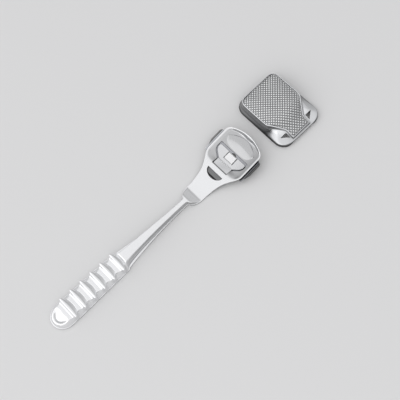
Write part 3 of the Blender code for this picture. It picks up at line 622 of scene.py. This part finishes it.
window = [(0.0, -WINDOW_TOP_Y), (WINDOW_HALF - CLAMP_SIDE_GAP, -WINDOW_TOP_Y)]
for step in range(1, WINDOW_CORNER_STEPS + 1):
    angle = QUARTER_TURN * step / WINDOW_CORNER_STEPS
    window.append((
        WINDOW_HALF - CLAMP_SIDE_GAP * (1.0 - sin(angle)),
        -WINDOW_TOP_Y - CLAMP_SIDE_GAP * (1.0 - cos(angle)),
    ))
for step in range(WINDOW_STEPS + 1):
    place = blend(WINDOW_SIDE_Y, WINDOW_WING_Y, step / WINDOW_STEPS)
    window.append((window_half(place, 0.0), -place))
window += [(WINDOW_STEM_HALF, -STRAP_Y), (0.0, -STRAP_Y)]
thumb_front = -STRAP_Y - STRAP_WIDTH
thumb_hole = [(0.0, thumb_front), (THUMB_HOLE_HALF, thumb_front)]
for step in range(1, THUMB_HOLE_STEPS):
    angle = QUARTER_TURN * step / THUMB_HOLE_STEPS
    thumb_hole.append((THUMB_HOLE_HALF * cos(angle), thumb_front - THUMB_HOLE_DEPTH * sin(angle)))
thumb_hole.append((0.0, thumb_front - THUMB_HOLE_DEPTH))
for name, outline in (("window_punch", window), ("thumb_punch", thumb_hole)):
    punch = prism(name, mirrored(outline), PUNCH_LOW, PUNCH_HIGH)
    lay(punch, head_place)
    cut(stamping, punch)
smooth(stamping, STEEL_SMOOTH_DEGREES)

# Steel finishes. The crevice span is the openness over which the painted shade in a crevice fades out, and the wall
# span is the height of the normal over which the painted shade on a side wall fades out.
CLOUD_SCALE = 45.0
CLOUD_DETAIL = 4.0
GRAIN_DETAIL = 3.0
GRAIN_RELIEF = 0.0001
CREVICE_SHADE_SAMPLES = 8
CREVICE_SHADE_SPAN = (0.15, 0.85)
WALL_SHADE_SPAN = (0.25, 0.85)


def multiply_colour(tree, colour, factor):
    """Give the shader a colour multiplied by a grey factor."""
    product = tree.nodes.new("ShaderNodeMix")
    product.data_type = "RGBA"
    product.blend_type = "MULTIPLY"
    product.inputs["Factor"].default_value = 1.0
    tree.links.new(colour, product.inputs["A"])
    tree.links.new(factor, product.inputs["B"])
    tree.links.new(product.outputs["Result"], tree.nodes["Principled BSDF"].inputs["Base Color"])


def steel(name, bright, dark, rough, grain, crevice_shade, wall_shade_tone, wall_shade_span=WALL_SHADE_SPAN):
    """A bare steel finish: clouded polish and a fine drawn grain, with painted shade on side walls and in crevices.

    rough is the least and the greatest roughness, and grain its scale, stretch and depth. The crevice argument is the
    reach and the tone of the painted shade in crevices, and the wall tone is the darkness of the painted shade on side
    walls.
    """
    grain_scale, grain_stretch, grain_depth = grain
    crevice_shade_reach, crevice_shade_tone = crevice_shade
    material = bpy.data.materials.new(name)
    material.use_nodes = True
    tree = material.node_tree
    shader = tree.nodes["Principled BSDF"]
    shader.inputs["Metallic"].default_value = 1.0
    place = tree.nodes.new("ShaderNodeTexCoord")
    cloud = tree.nodes.new("ShaderNodeTexNoise")
    cloud.inputs["Scale"].default_value = CLOUD_SCALE
    cloud.inputs["Detail"].default_value = CLOUD_DETAIL
    tone = tree.nodes.new("ShaderNodeMix")
    tone.data_type = "RGBA"
    tone.inputs["A"].default_value = (*bright, 1.0)
    tone.inputs["B"].default_value = (*dark, 1.0)
    polish = map_range(tree, 0.0, 1.0, *rough)
    stretch = tree.nodes.new("ShaderNodeMapping")
    stretch.inputs["Scale"].default_value = grain_stretch
    lines = tree.nodes.new("ShaderNodeTexNoise")
    lines.inputs["Scale"].default_value = grain_scale
    lines.inputs["Detail"].default_value = GRAIN_DETAIL
    relief = tree.nodes.new("ShaderNodeBump")
    relief.inputs["Strength"].default_value = grain_depth
    relief.inputs["Distance"].default_value = GRAIN_RELIEF
    hollow = tree.nodes.new("ShaderNodeAmbientOcclusion")
    hollow.samples = CREVICE_SHADE_SAMPLES
    hollow.inputs["Distance"].default_value = crevice_shade_reach
    depth = map_range(tree, *CREVICE_SHADE_SPAN, crevice_shade_tone)
    surface = tree.nodes.new("ShaderNodeNewGeometry")
    facing = tree.nodes.new("ShaderNodeSeparateXYZ")
    wall = map_range(tree, *wall_shade_span, wall_shade_tone)
    wall.name = "wall"
    shade = tree.nodes.new("ShaderNodeMath")
    shade.operation = "MULTIPLY"
    tree.links.new(place.outputs["Object"], cloud.inputs["Vector"])
    tree.links.new(cloud.outputs["Fac"], tone.inputs["Factor"])
    tree.links.new(hollow.outputs["AO"], depth.inputs["Value"])
    tree.links.new(surface.outputs["Normal"], facing.inputs["Vector"])
    tree.links.new(facing.outputs["Z"], wall.inputs["Value"])
    tree.links.new(depth.outputs["Result"], shade.inputs[0])
    tree.links.new(wall.outputs["Result"], shade.inputs[1])
    multiply_colour(tree, tone.outputs["Result"], shade.outputs["Value"])
    tree.links.new(cloud.outputs["Fac"], polish.inputs["Value"])
    tree.links.new(polish.outputs["Result"], shader.inputs["Roughness"])
    tree.links.new(place.outputs["Object"], stretch.inputs["Vector"])
    tree.links.new(stretch.outputs["Vector"], lines.inputs["Vector"])
    tree.links.new(lines.outputs["Fac"], relief.inputs["Height"])
    tree.links.new(relief.outputs["Normal"], shader.inputs["Normal"])
    return material


def paint_shade_and_satin(material, axis, start, end, tone, more_rough, turned=0.0, origin=(0.0, 0.0, 0.0)):
    """Paint shade on a finish, darker from start to end along one axis, and make it more satin there, in a frame that
    may be tilted.
    """
    tree = material.node_tree
    shader = tree.nodes["Principled BSDF"]
    colour = shader.inputs["Base Color"].links[0].from_socket
    roughness = shader.inputs["Roughness"].links[0].from_socket
    place = tree.nodes.new("ShaderNodeTexCoord")
    frame_turn = tree.nodes.new("ShaderNodeMapping")
    frame_turn.vector_type = "TEXTURE"
    frame_turn.inputs["Location"].default_value = origin
    frame_turn.inputs["Rotation"].default_value = (turned, 0.0, 0.0)
    parts = tree.nodes.new("ShaderNodeSeparateXYZ")
    shade = map_range(tree, start, end, 1.0, tone, "SMOOTHSTEP")
    shade.name = "shade"
    satin = map_range(tree, start, end, 0.0, more_rough)
    rougher = tree.nodes.new("ShaderNodeMath")
    rougher.operation = "ADD"
    tree.links.new(place.outputs["Object"], frame_turn.inputs["Vector"])
    tree.links.new(frame_turn.outputs["Vector"], parts.inputs["Vector"])
    tree.links.new(parts.outputs[axis], shade.inputs["Value"])
    tree.links.new(parts.outputs[axis], satin.inputs["Value"])
    multiply_colour(tree, colour, shade.outputs["Result"])
    tree.links.new(roughness, rougher.inputs[0])
    tree.links.new(satin.outputs["Result"], rougher.inputs[1])
    tree.links.new(rougher.outputs["Value"], shader.inputs["Roughness"])
    return material


def dress(item, material):
    item.data.materials.clear()
    item.data.materials.append(material)


# The stamping's side walls have painted shade, darker on the shaft than on the ribs. The dish has painted shade and a
# more satin finish than the rim, with less painted shade on its front wall, and the tool's foot has a painted shadow
# where it meets the floor.
RIB_WALL_TONE = 0.92
SHAFT_WALL_TONE = 0.55
SHAFT_WALL_FADE = 0.0045
DISH_SHADE_START = 0.00002
DISH_SHADE_END = -0.0004
DISH_TONE = 0.60
DISH_ROUGHER = 0.08
DISH_FRONT_TONE = 0.95
DISH_FRONT_START = 0.0028
DISH_FRONT_END = 0.0016
FOOT_SHADE_START = 0.0008
FOOT_SHADE_END = 0.0003
FOOT_TONE = 0.35
FOOT_ROUGHER = 0.05

polished = steel(
    "polished_stamping", bright=(0.92, 0.92, 0.93), dark=(0.85, 0.86, 0.87), rough=(0.12, 0.26),
    grain=(900.0, (1.0, 0.12, 1.0), 0.06), crevice_shade=(0.0010, 0.30), wall_shade_tone=SHAFT_WALL_TONE,
    wall_shade_span=(0.10, 0.45),
)
# Painted shade in the dish, which is also made more satin.
paint_shade_and_satin(polished, "Z", DISH_SHADE_START, DISH_SHADE_END, DISH_TONE, DISH_ROUGHER, HEAD_TILT, head_origin)
tree = polished.node_tree
place = tree.nodes.new("ShaderNodeTexCoord")
parts = tree.nodes.new("ShaderNodeSeparateXYZ")
shaft_y = TAIL_Y + SHAFT_END
# The painted shade on the side walls is lighter on the ribs than on the shaft, and lighter on the dish's front wall.
ribs = map_range(tree, shaft_y - SHAFT_WALL_FADE, shaft_y, RIB_WALL_TONE, SHAFT_WALL_TONE)
tip_y = TAIL_Y + TOOL_LENGTH
front = map_range(tree, tip_y - DISH_FRONT_START, tip_y - DISH_FRONT_END, DISH_TONE, DISH_FRONT_TONE)
tree.links.new(place.outputs["Object"], parts.inputs["Vector"])
tree.links.new(parts.outputs["Y"], ribs.inputs["Value"])
tree.links.new(parts.outputs["Y"], front.inputs["Value"])
tree.links.new(ribs.outputs["Result"], tree.nodes["wall"].inputs["To Min"])
tree.links.new(front.outputs["Result"], tree.nodes["shade"].inputs["To Max"])
# Painted shadow along the foot, where it meets the floor.
dress(stamping, paint_shade_and_satin(polished, "Z", FOOT_SHADE_START, FOOT_SHADE_END, FOOT_TONE, FOOT_ROUGHER))
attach(stamping, "tool")
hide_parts("handle")

# Sole plate and blade: the sole is satin pressed sheet under the head, whose dark grey is painted shade, and the thin
# ground blade is bowed between the two. Both keep their solids and are only given their finish.

# The sole's dark grey colour is painted shade under the head.
dress(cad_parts["sole_plate"], steel(
    "sole_painted_shade", bright=(0.26, 0.26, 0.255), dark=(0.15, 0.15, 0.15), rough=(0.25, 0.42),
    grain=(1400.0, (0.1, 1.0, 1.0), 0.10), crevice_shade=(0.004, 0.10), wall_shade_tone=0.5,
))
dress(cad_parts["blade"], steel(
    "ground_blade", bright=(0.66, 0.67, 0.70), dark=(0.50, 0.51, 0.54), rough=(0.14, 0.28),
    grain=(2200.0, (1.0, 0.05, 1.0), 0.12), crevice_shade=(0.004, 0.02), wall_shade_tone=0.6,
))

# Clamp plate: a T of sprung sheet in the window. Its wings hold the blade, a square pad stands up between
# two slots, a row of dimples crosses it behind the pad, and its stem runs under the strap.

CLAMP_TOP = 0.0030
CLAMP_STEM_TOP = 0.0012
CLAMP_TAIL_Y = 0.0354
CLAMP_SHEET = 0.0007
CLAMP_LINES = 84
CLAMP_COLUMNS = 24
STEM_BEND_SHARE = 0.8
PAD_HALF = 0.0035
PAD_FRONT_Y = 0.0161
PAD_LENGTH = 0.0055
PAD_RISE = 0.0004
PAD_SIDE_EASE = 0.0003
PAD_FRONT_EASE = 0.0004
PAD_BACK_EASE = 0.0006
PAD_SLOT = 0.0005
PAD_SLOT_LOW = -0.006
PAD_SLOT_HIGH = 0.001
PAD_FACING = 0.5
DIMPLE_Y = 0.0239
DIMPLE_PITCH = 0.0014
DIMPLE_RADIUS = 0.00055
DIMPLE_FLATNESS = 0.6
DIMPLE_RISE = 0.00005
DIMPLES_A_SIDE = 4
DIMPLE_SEGMENTS = 14
DIMPLE_RINGS = 8
STEM_SHADE_START = 0.0363
STEM_SHADE_END = 0.0355
STEM_TONE = 0.30
STEM_ROUGHER = 0.10

wing_front = WINDOW_TOP_Y + CLAMP_MOUTH
wing_back = WINDOW_WING_Y - CLAMP_SIDE_GAP
stem_half = WINDOW_STEM_HALF - CLAMP_FRONT_GAP
clamp_levels = (
    (wing_front, -CLAMP_TOP), (wing_back, -CLAMP_TOP), (blend(wing_back, STRAP_Y, STEM_BEND_SHARE), -CLAMP_STEM_TOP),
    (CLAMP_TAIL_Y, -CLAMP_STEM_TOP),
)
clamp_rows = []
for line in range(CLAMP_LINES + 1):
    place = blend(wing_front, CLAMP_TAIL_Y, line / CLAMP_LINES)
    if place < WINDOW_SIDE_Y:
        corner = max(wing_front + CLAMP_SIDE_GAP - place, 0.0)
        half = WINDOW_HALF - CLAMP_SIDE_GAP - (CLAMP_SIDE_GAP - sqrt(max(CLAMP_SIDE_GAP ** 2 - corner ** 2, 0.0)))
    else:
        half = max(window_half(place + CLAMP_SIDE_GAP, CLAMP_SIDE_GAP), stem_half)
    half -= max(place + CLAMP_SIDE_GAP - CLAMP_TAIL_Y, 0.0) ** 2 / CLAMP_SIDE_GAP
    level = table_value(clamp_levels, place)
    curve_share = min(max((level + CLAMP_STEM_TOP) / (CLAMP_STEM_TOP - CLAMP_TOP), 0.0), 1.0)
    row = []
    for column in range(CLAMP_COLUMNS + 1):
        x = half * (1.0 - column / CLAMP_COLUMNS)
        pad = ease((PAD_HALF - x) / PAD_SIDE_EASE + 1.0) * ease((place - PAD_FRONT_Y) / PAD_FRONT_EASE)
        pad *= ease((PAD_FRONT_Y + PAD_LENGTH - place) / PAD_BACK_EASE)
        row.append(Vector((x, -place, level + bow(x) * curve_share + PAD_RISE * pad)))
    clamp_rows.append(row)
clamp = pressed_grid("clamp_press", clamp_rows)
mirror(clamp)
thicken(clamp, CLAMP_SHEET)
for side in (-1.0, 1.0):
    inner = side * PAD_HALF
    outer = side * (PAD_HALF + PAD_SLOT)
    slot = [(inner, -PAD_FRONT_Y), (outer, -PAD_FRONT_Y), (outer, -PAD_FRONT_Y - PAD_LENGTH),
            (inner, -PAD_FRONT_Y - PAD_LENGTH)]
    cut(clamp, prism("pad_slot", slot, PAD_SLOT_LOW, PAD_SLOT_HIGH))
for number in range(-DIMPLES_A_SIDE, DIMPLES_A_SIDE + 1):
    x = number * DIMPLE_PITCH
    bpy.ops.object.select_all(action="DESELECT")
    bpy.ops.mesh.primitive_uv_sphere_add(segments=DIMPLE_SEGMENTS, ring_count=DIMPLE_RINGS, radius=DIMPLE_RADIUS,
                                         location=(x, -DIMPLE_Y, bow(x) - CLAMP_TOP + DIMPLE_RISE))
    dimple = bpy.context.object
    dimple.scale.z = DIMPLE_FLATNESS
    bpy.ops.object.transform_apply(location=True, rotation=True, scale=True)
    cut(clamp, dimple, "UNION")
lay(clamp, head_place)
smooth(clamp, STEEL_SMOOTH_DEGREES)
clamp_polish = steel(
    "clamp_polish", bright=(0.80, 0.80, 0.81), dark=(0.66, 0.67, 0.68), rough=(0.14, 0.28),
    grain=(900.0, (1.0, 0.15, 1.0), 0.08), crevice_shade=(0.0014, 0.10), wall_shade_tone=0.45,
)
# The stem is painted darker towards its tail, which is painted shade where it runs under the strap and shows in the
# thumb hole, with a more satin finish there.
dress(clamp, paint_shade_and_satin(clamp_polish, "Y", STEM_SHADE_START, STEM_SHADE_END, STEM_TONE, STEM_ROUGHER))
# The pad's upward faces get a brighter copy of the clamp's steel, which is a painted highlight.
clamp.data.materials.append(steel(
    "pad_painted_highlight", bright=(0.93, 0.93, 0.93), dark=(0.87, 0.87, 0.88), rough=(0.12, 0.24),
    grain=(900.0, (1.0, 0.15, 1.0), 0.06), crevice_shade=(0.0010, 0.10), wall_shade_tone=0.45,
))
to_head = head_place.inverted()
for face in clamp.data.polygons:
    centre = to_head @ face.center
    on_pad = abs(centre.x) < PAD_HALF and PAD_FRONT_Y < -centre.y < PAD_FRONT_Y + PAD_LENGTH
    if on_pad and face.normal.z > PAD_FACING:
        face.material_index = 1
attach(clamp, "clamp")
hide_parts("clamp_plate")

# Rasp sheet: a domed sheet with a cross-hatch of raised teeth cut into it, held under the carrier's lip. It slopes
# down over its tongue, and the grooves between its teeth have painted shade, darker than their crests.

RASP_X = -0.02065
RASP_Y = 0.092153
RASP_LENGTH = 0.0424
RASP_HALF = 0.0159
RASP_CORNER_RADIUS = 0.0050
RASP_HEIGHT = 0.0094
RASP_DOME = 0.0016
RASP_DOME_EDGE_SHARE = 0.75
RASP_SMOOTH_DEGREES = 50.0
SHOULDER_START = 0.0252
SHOULDER_END = 0.0360
TONGUE_HALF = 0.0078
TONGUE_DROP = 0.0056
RASP_SHEET = 0.0005
SHEET_INSET = 0.0010
SHEET_DROP = 0.0004
RASP_LINES = 230
RASP_COLUMNS = 164
HATCH_PITCH = 0.00158
HATCH_ANGLE = radians(45.0)
HATCH_DEPTH = 0.00042
HATCH_FADE = 0.0003
TOOTH_RISE_SHARE = 0.4
GROOVE_SHARE = 0.55
GROOVE_BLUNTNESS = 1.4
GROOVE_SHADE_TONE = 0.32


def rasp_level(x):
    """Height of the rasp's rim at x from the closed end."""
    return RASP_HEIGHT - ease((x - SHOULDER_START) / (RASP_LENGTH - SHOULDER_START)) * TONGUE_DROP


def rasp_half(x):
    """Half width of the sheet at x from the closed end."""
    corner = RASP_CORNER_RADIUS - SHEET_INSET
    if x < SHEET_INSET + corner:
        run = SHEET_INSET + corner - x
        return RASP_HALF - SHEET_INSET - corner + sqrt(max(corner ** 2 - run ** 2, 0.0))
    share = (x + SHEET_INSET / 2.0 - SHOULDER_START) / (SHOULDER_END - SHOULDER_START)
    return blend(RASP_HALF, TONGUE_HALF, min(max(share, 0.0), 1.0)) - SHEET_INSET


def groove(place):
    """A blunt groove that repeats once each unit: 1 on its floor, 0 on the land between two grooves."""
    share = abs(place % 1.0 - 0.5) * 2.0
    return ease((share - (1.0 - GROOVE_SHARE)) / GROOVE_SHARE * GROOVE_BLUNTNESS)


rasp_rows = []
groove_shares = []
for line in range(RASP_LINES + 1):
    x = blend(SHEET_INSET, RASP_LENGTH - SHEET_INSET, line / RASP_LINES)
    half = rasp_half(x)
    row = []
    for column in range(RASP_COLUMNS + 1):
        y = half * (2.0 * column / RASP_COLUMNS - 1.0)
        edge = min(half - abs(y), x - SHEET_INSET, RASP_LENGTH - SHEET_INSET - x)
        edge_share = min(edge / (RASP_HALF * RASP_DOME_EDGE_SHARE), 1.0)
        width_share = half / RASP_HALF
        dome = RASP_DOME * width_share * (1.0 - (1.0 - edge_share) ** 2)
        across_line = (x * cos(HATCH_ANGLE) + y * sin(HATCH_ANGLE)) / HATCH_PITCH
        along_line = (x * sin(HATCH_ANGLE) - y * cos(HATCH_ANGLE)) / HATCH_PITCH
        fade = ease(edge / HATCH_FADE)
        depth = max(groove(across_line), groove(along_line))
        teeth = HATCH_DEPTH * (TOOTH_RISE_SHARE - depth) * fade
        groove_shares.append(depth * fade)
        row.append(Vector((x, y, rasp_level(x) - SHEET_DROP + dome + teeth)))
    rasp_rows.append(row)
rasp_place = Matrix.Translation((RASP_X, RASP_Y, 0.0))
rasp = pressed_grid("rasp_teeth", rasp_rows)
# Each point keeps its share of groove depth, which sets the painted shade in the grooves.
groove_shade_layer = rasp.data.attributes.new("groove_share", "FLOAT", "POINT")
groove_shade_layer.data.foreach_set("value", groove_shares)
face_up(rasp)
thicken(rasp, RASP_SHEET, even=False)
lay(rasp, rasp_place)
smooth(rasp, RASP_SMOOTH_DEGREES)
hatched = steel(
    "rasp_steel", bright=(0.95, 0.96, 0.96), dark=(0.82, 0.83, 0.84), rough=(0.20, 0.34),
    grain=(1500.0, (1.0, 1.0, 1.0), 0.12), crevice_shade=(0.0009, 0.10), wall_shade_tone=0.5,
)
# Painted shade in the grooves between the teeth.
tree = hatched.node_tree
grooves = tree.nodes.new("ShaderNodeAttribute")
grooves.attribute_name = "groove_share"
groove_shade = map_range(tree, 0.0, 1.0, 1.0, GROOVE_SHADE_TONE)
tree.links.new(grooves.outputs["Fac"], groove_shade.inputs["Value"])
base_colour = tree.nodes["Principled BSDF"].inputs["Base Color"].links[0].from_socket
multiply_colour(tree, base_colour, groove_shade.outputs["Result"])
dress(rasp, hatched)
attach(rasp, "rasp_cover")
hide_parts("rasp_sheet")

# Rasp carrier: the pressed frame round the rasp, with a rolled lip, a flared skirt along the sides, and a
# plate beside the tongue at each corner, with a three-cornered slot through it.

CARRIER_SHEET = 0.0006
LIP_WIDTH = 0.0007
SKIRT_FLARE = 0.0025
SKIRT_END_FLARE = 0.0014
SKIRT_END_RADIUS = 0.0080
TONGUE_WALL = 0.0013
PLATE_HEIGHT = 0.0047
PLATE_END_HEIGHT = 0.0025
END_LIP = 0.0008
CORNER_SLOT_X = 0.0366
CORNER_SLOT_LENGTH = 0.0040
CORNER_SLOT_WIDTH = 0.0052
CORNER_SLOT_SPACE = 0.0012
CORNER_STEPS = 6
SHOULDER_STEPS = 10
STRAIGHT_STEPS = 5
SIDE_SHARES = (0.33, 0.67)
TONGUE_SHARES = (0.33, 0.67, 0.95, 1.0)
TONGUE_END_SHARES = (0.93, 0.5, 0.0)
FOOT_END_SHARES = (1.02, 0.98, 0.90, 0.5, 0.0)
SKIRT_SHADE_START = 0.0052
SKIRT_SHADE_END = 0.0040
SKIRT_TONE = 0.80
SKIRT_ROUGHER = 0.06
SKIRT_FOOT_START = 0.0030
SKIRT_FOOT_END = 0.0012
SKIRT_FOOT_TONE = 0.20
SKIRT_FOOT_ROUGHER = 0.05


def rasp_outline(inset):
    """Half outline of the rasp from its closed end to its tongue, drawn in by inset."""
    half = RASP_HALF - inset
    tongue = TONGUE_HALF - inset
    corner = RASP_CORNER_RADIUS - inset
    points = [(inset, 0.0), (inset, (half - corner) / 2.0)]
    for step in range(CORNER_STEPS + 1):
        angle = QUARTER_TURN * step / CORNER_STEPS
        points.append((inset + corner * (1.0 - cos(angle)), half - corner * (1.0 - sin(angle))))
    for share in SIDE_SHARES:
        points.append((blend(RASP_CORNER_RADIUS, SHOULDER_START, share), half))
    for step in range(SHOULDER_STEPS + 1):
        share = step / SHOULDER_STEPS
        points.append((blend(SHOULDER_START, SHOULDER_END, share) - inset / 2.0, blend(half, tongue, share)))
    for share in TONGUE_SHARES:
        points.append((blend(SHOULDER_END, RASP_LENGTH, share) - inset, tongue))
    for share in TONGUE_END_SHARES:
        points.append((RASP_LENGTH - inset, tongue * share))
    return points


def foot_outline():
    """Half outline of the skirt's foot, with a point for each point of the rasp's outline."""
    half = RASP_HALF + SKIRT_FLARE
    end = RASP_LENGTH + SKIRT_END_FLARE
    arc_x = end - SKIRT_END_RADIUS
    points = rasp_outline(-SKIRT_FLARE)[:CORNER_STEPS + 3 + len(SIDE_SHARES)]
    for step in range(STRAIGHT_STEPS + 1):
        points.append((blend(SHOULDER_START, arc_x, step / STRAIGHT_STEPS), half))
    arc_steps = SHOULDER_STEPS - STRAIGHT_STEPS + 2
    for step in range(1, arc_steps + 1):
        angle = QUARTER_TURN * step / arc_steps
        points.append((arc_x + SKIRT_END_RADIUS * sin(angle), half - SKIRT_END_RADIUS * (1.0 - cos(angle))))
    for share in FOOT_END_SHARES:
        points.append((end, TONGUE_HALF * share))
    return points


def closed(half):
    """A whole outline from its upper half."""
    return half + [(x, -y) for x, y in reversed(half[1:-1])]


# One line round the carrier for each row, from the lip's inner edge to the foot: its inset; its height as a
# share of the rim's; its flare at the sides; how far it has come down to the corner plates, and from them to the
# foot; its flare at the tongue; and a small lift.
edge = closed(rasp_outline(0.0))
foot = closed(foot_outline())
tongue_middle = (SHOULDER_END + RASP_LENGTH) / 2.0
carrier_profile = (
    (LIP_WIDTH, 1.0, 0.0, 0.0, 0.0, 0.0, -0.0001),
    (CARRIER_SHEET, 1.0, 0.0, 0.0, 0.0, 0.0, 0.0),
    (CARRIER_SHEET * 0.35, 1.0, 0.0, 0.0, 0.0, 0.0, -0.00005),
    (0.0, 0.95, 0.0, 0.0, 0.0, 0.0, 0.0),
    (0.0, 0.88, 0.0, 0.0, 0.0, 0.0, 0.0),
    (0.0, 0.64, 0.04, 0.0, 0.0, 0.05, 0.0),
    (0.0, 0.60, 0.08, 0.05, 0.0, 0.12, 0.0),
    (0.0, 0.34, 0.38, 0.5, 0.0, 0.5, 0.0),
    (0.0, 0.17, 0.84, 1.0, 0.0, 0.92, 0.0),
    (0.0, 0.13, 0.97, 1.0, 0.10, 0.99, 0.0),
    (0.0, 0.06, 1.0, 1.0, 0.5, 1.0, 0.0),
    (0.0, 0.0, 1.0, 1.0, 1.0, 1.0, 0.0),
)
ROLL_ROWS = (3, 4)
carrier_rows = []
for level, (inset, height_share, side_flare, plate_share, foot_share, plate_flare, lift) in enumerate(carrier_profile):
    row = []
    for (x, y), (edge_x, edge_y), (foot_x, foot_y) in zip(closed(rasp_outline(inset)), edge, foot):
        tongue = ease((edge_x - SHOULDER_START) / (SHOULDER_END - SHOULDER_START))
        opening = ease((edge_x - tongue_middle) / (RASP_LENGTH - tongue_middle))
        along_share = max(edge_x - SHOULDER_START, 0.0) / (RASP_LENGTH - SHOULDER_START)
        top = rasp_level(x if inset else edge_x)
        wall = top - CARRIER_SHEET / 2.0 if level in ROLL_ROWS else top - TONGUE_WALL
        plate = blend(PLATE_HEIGHT, PLATE_END_HEIGHT, along_share)
        down = blend(blend(wall, plate, plate_share), opening * (plate - END_LIP), foot_share)
        flare = blend(side_flare, plate_flare, tongue)
        z = top + lift if inset else blend(top * height_share, down, tongue)
        row.append(Vector((x + (foot_x - edge_x) * flare, y + (foot_y - edge_y) * flare, z)))
    carrier_rows.append(row + row[:1])
carrier = pressed_grid("carrier_press", carrier_rows)
face_up(carrier)
apply(carrier, "SUBSURF", levels=2, render_levels=2)
thicken(carrier, CARRIER_SHEET)
for side in (-1.0, 1.0):
    near = side * (TONGUE_HALF + CORNER_SLOT_SPACE)
    far = near + side * CORNER_SLOT_WIDTH
    corners = [(CORNER_SLOT_X, near), (CORNER_SLOT_X + CORNER_SLOT_LENGTH, near), (CORNER_SLOT_X, far)]
    cut(carrier, prism("corner_punch", corners, 0.0, RASP_HEIGHT))
lay(carrier, rasp_place)
smooth(carrier, STEEL_SMOOTH_DEGREES)
# The carrier's finish has strong painted shade on its side walls and in its crevices.
rolled = steel(
    "carrier_polish", bright=(0.92, 0.93, 0.94), dark=(0.78, 0.79, 0.81), rough=(0.16, 0.30),
    grain=(900.0, (0.15, 1.0, 1.0), 0.08), crevice_shade=(0.0020, 0.12), wall_shade_tone=0.32, wall_shade_span=(0.40, 0.90),
)
# The skirt is painted darker towards its foot, and darkest near the floor. This is painted shade, with a more satin
# finish there.
paint_shade_and_satin(rolled, "Z", SKIRT_SHADE_START, SKIRT_SHADE_END, SKIRT_TONE, SKIRT_ROUGHER)
dress(carrier, paint_shade_and_satin(rolled, "Z", SKIRT_FOOT_START, SKIRT_FOOT_END, SKIRT_FOOT_TONE, SKIRT_FOOT_ROUGHER))
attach(carrier, "rasp_cover")
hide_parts("rasp_carrier")
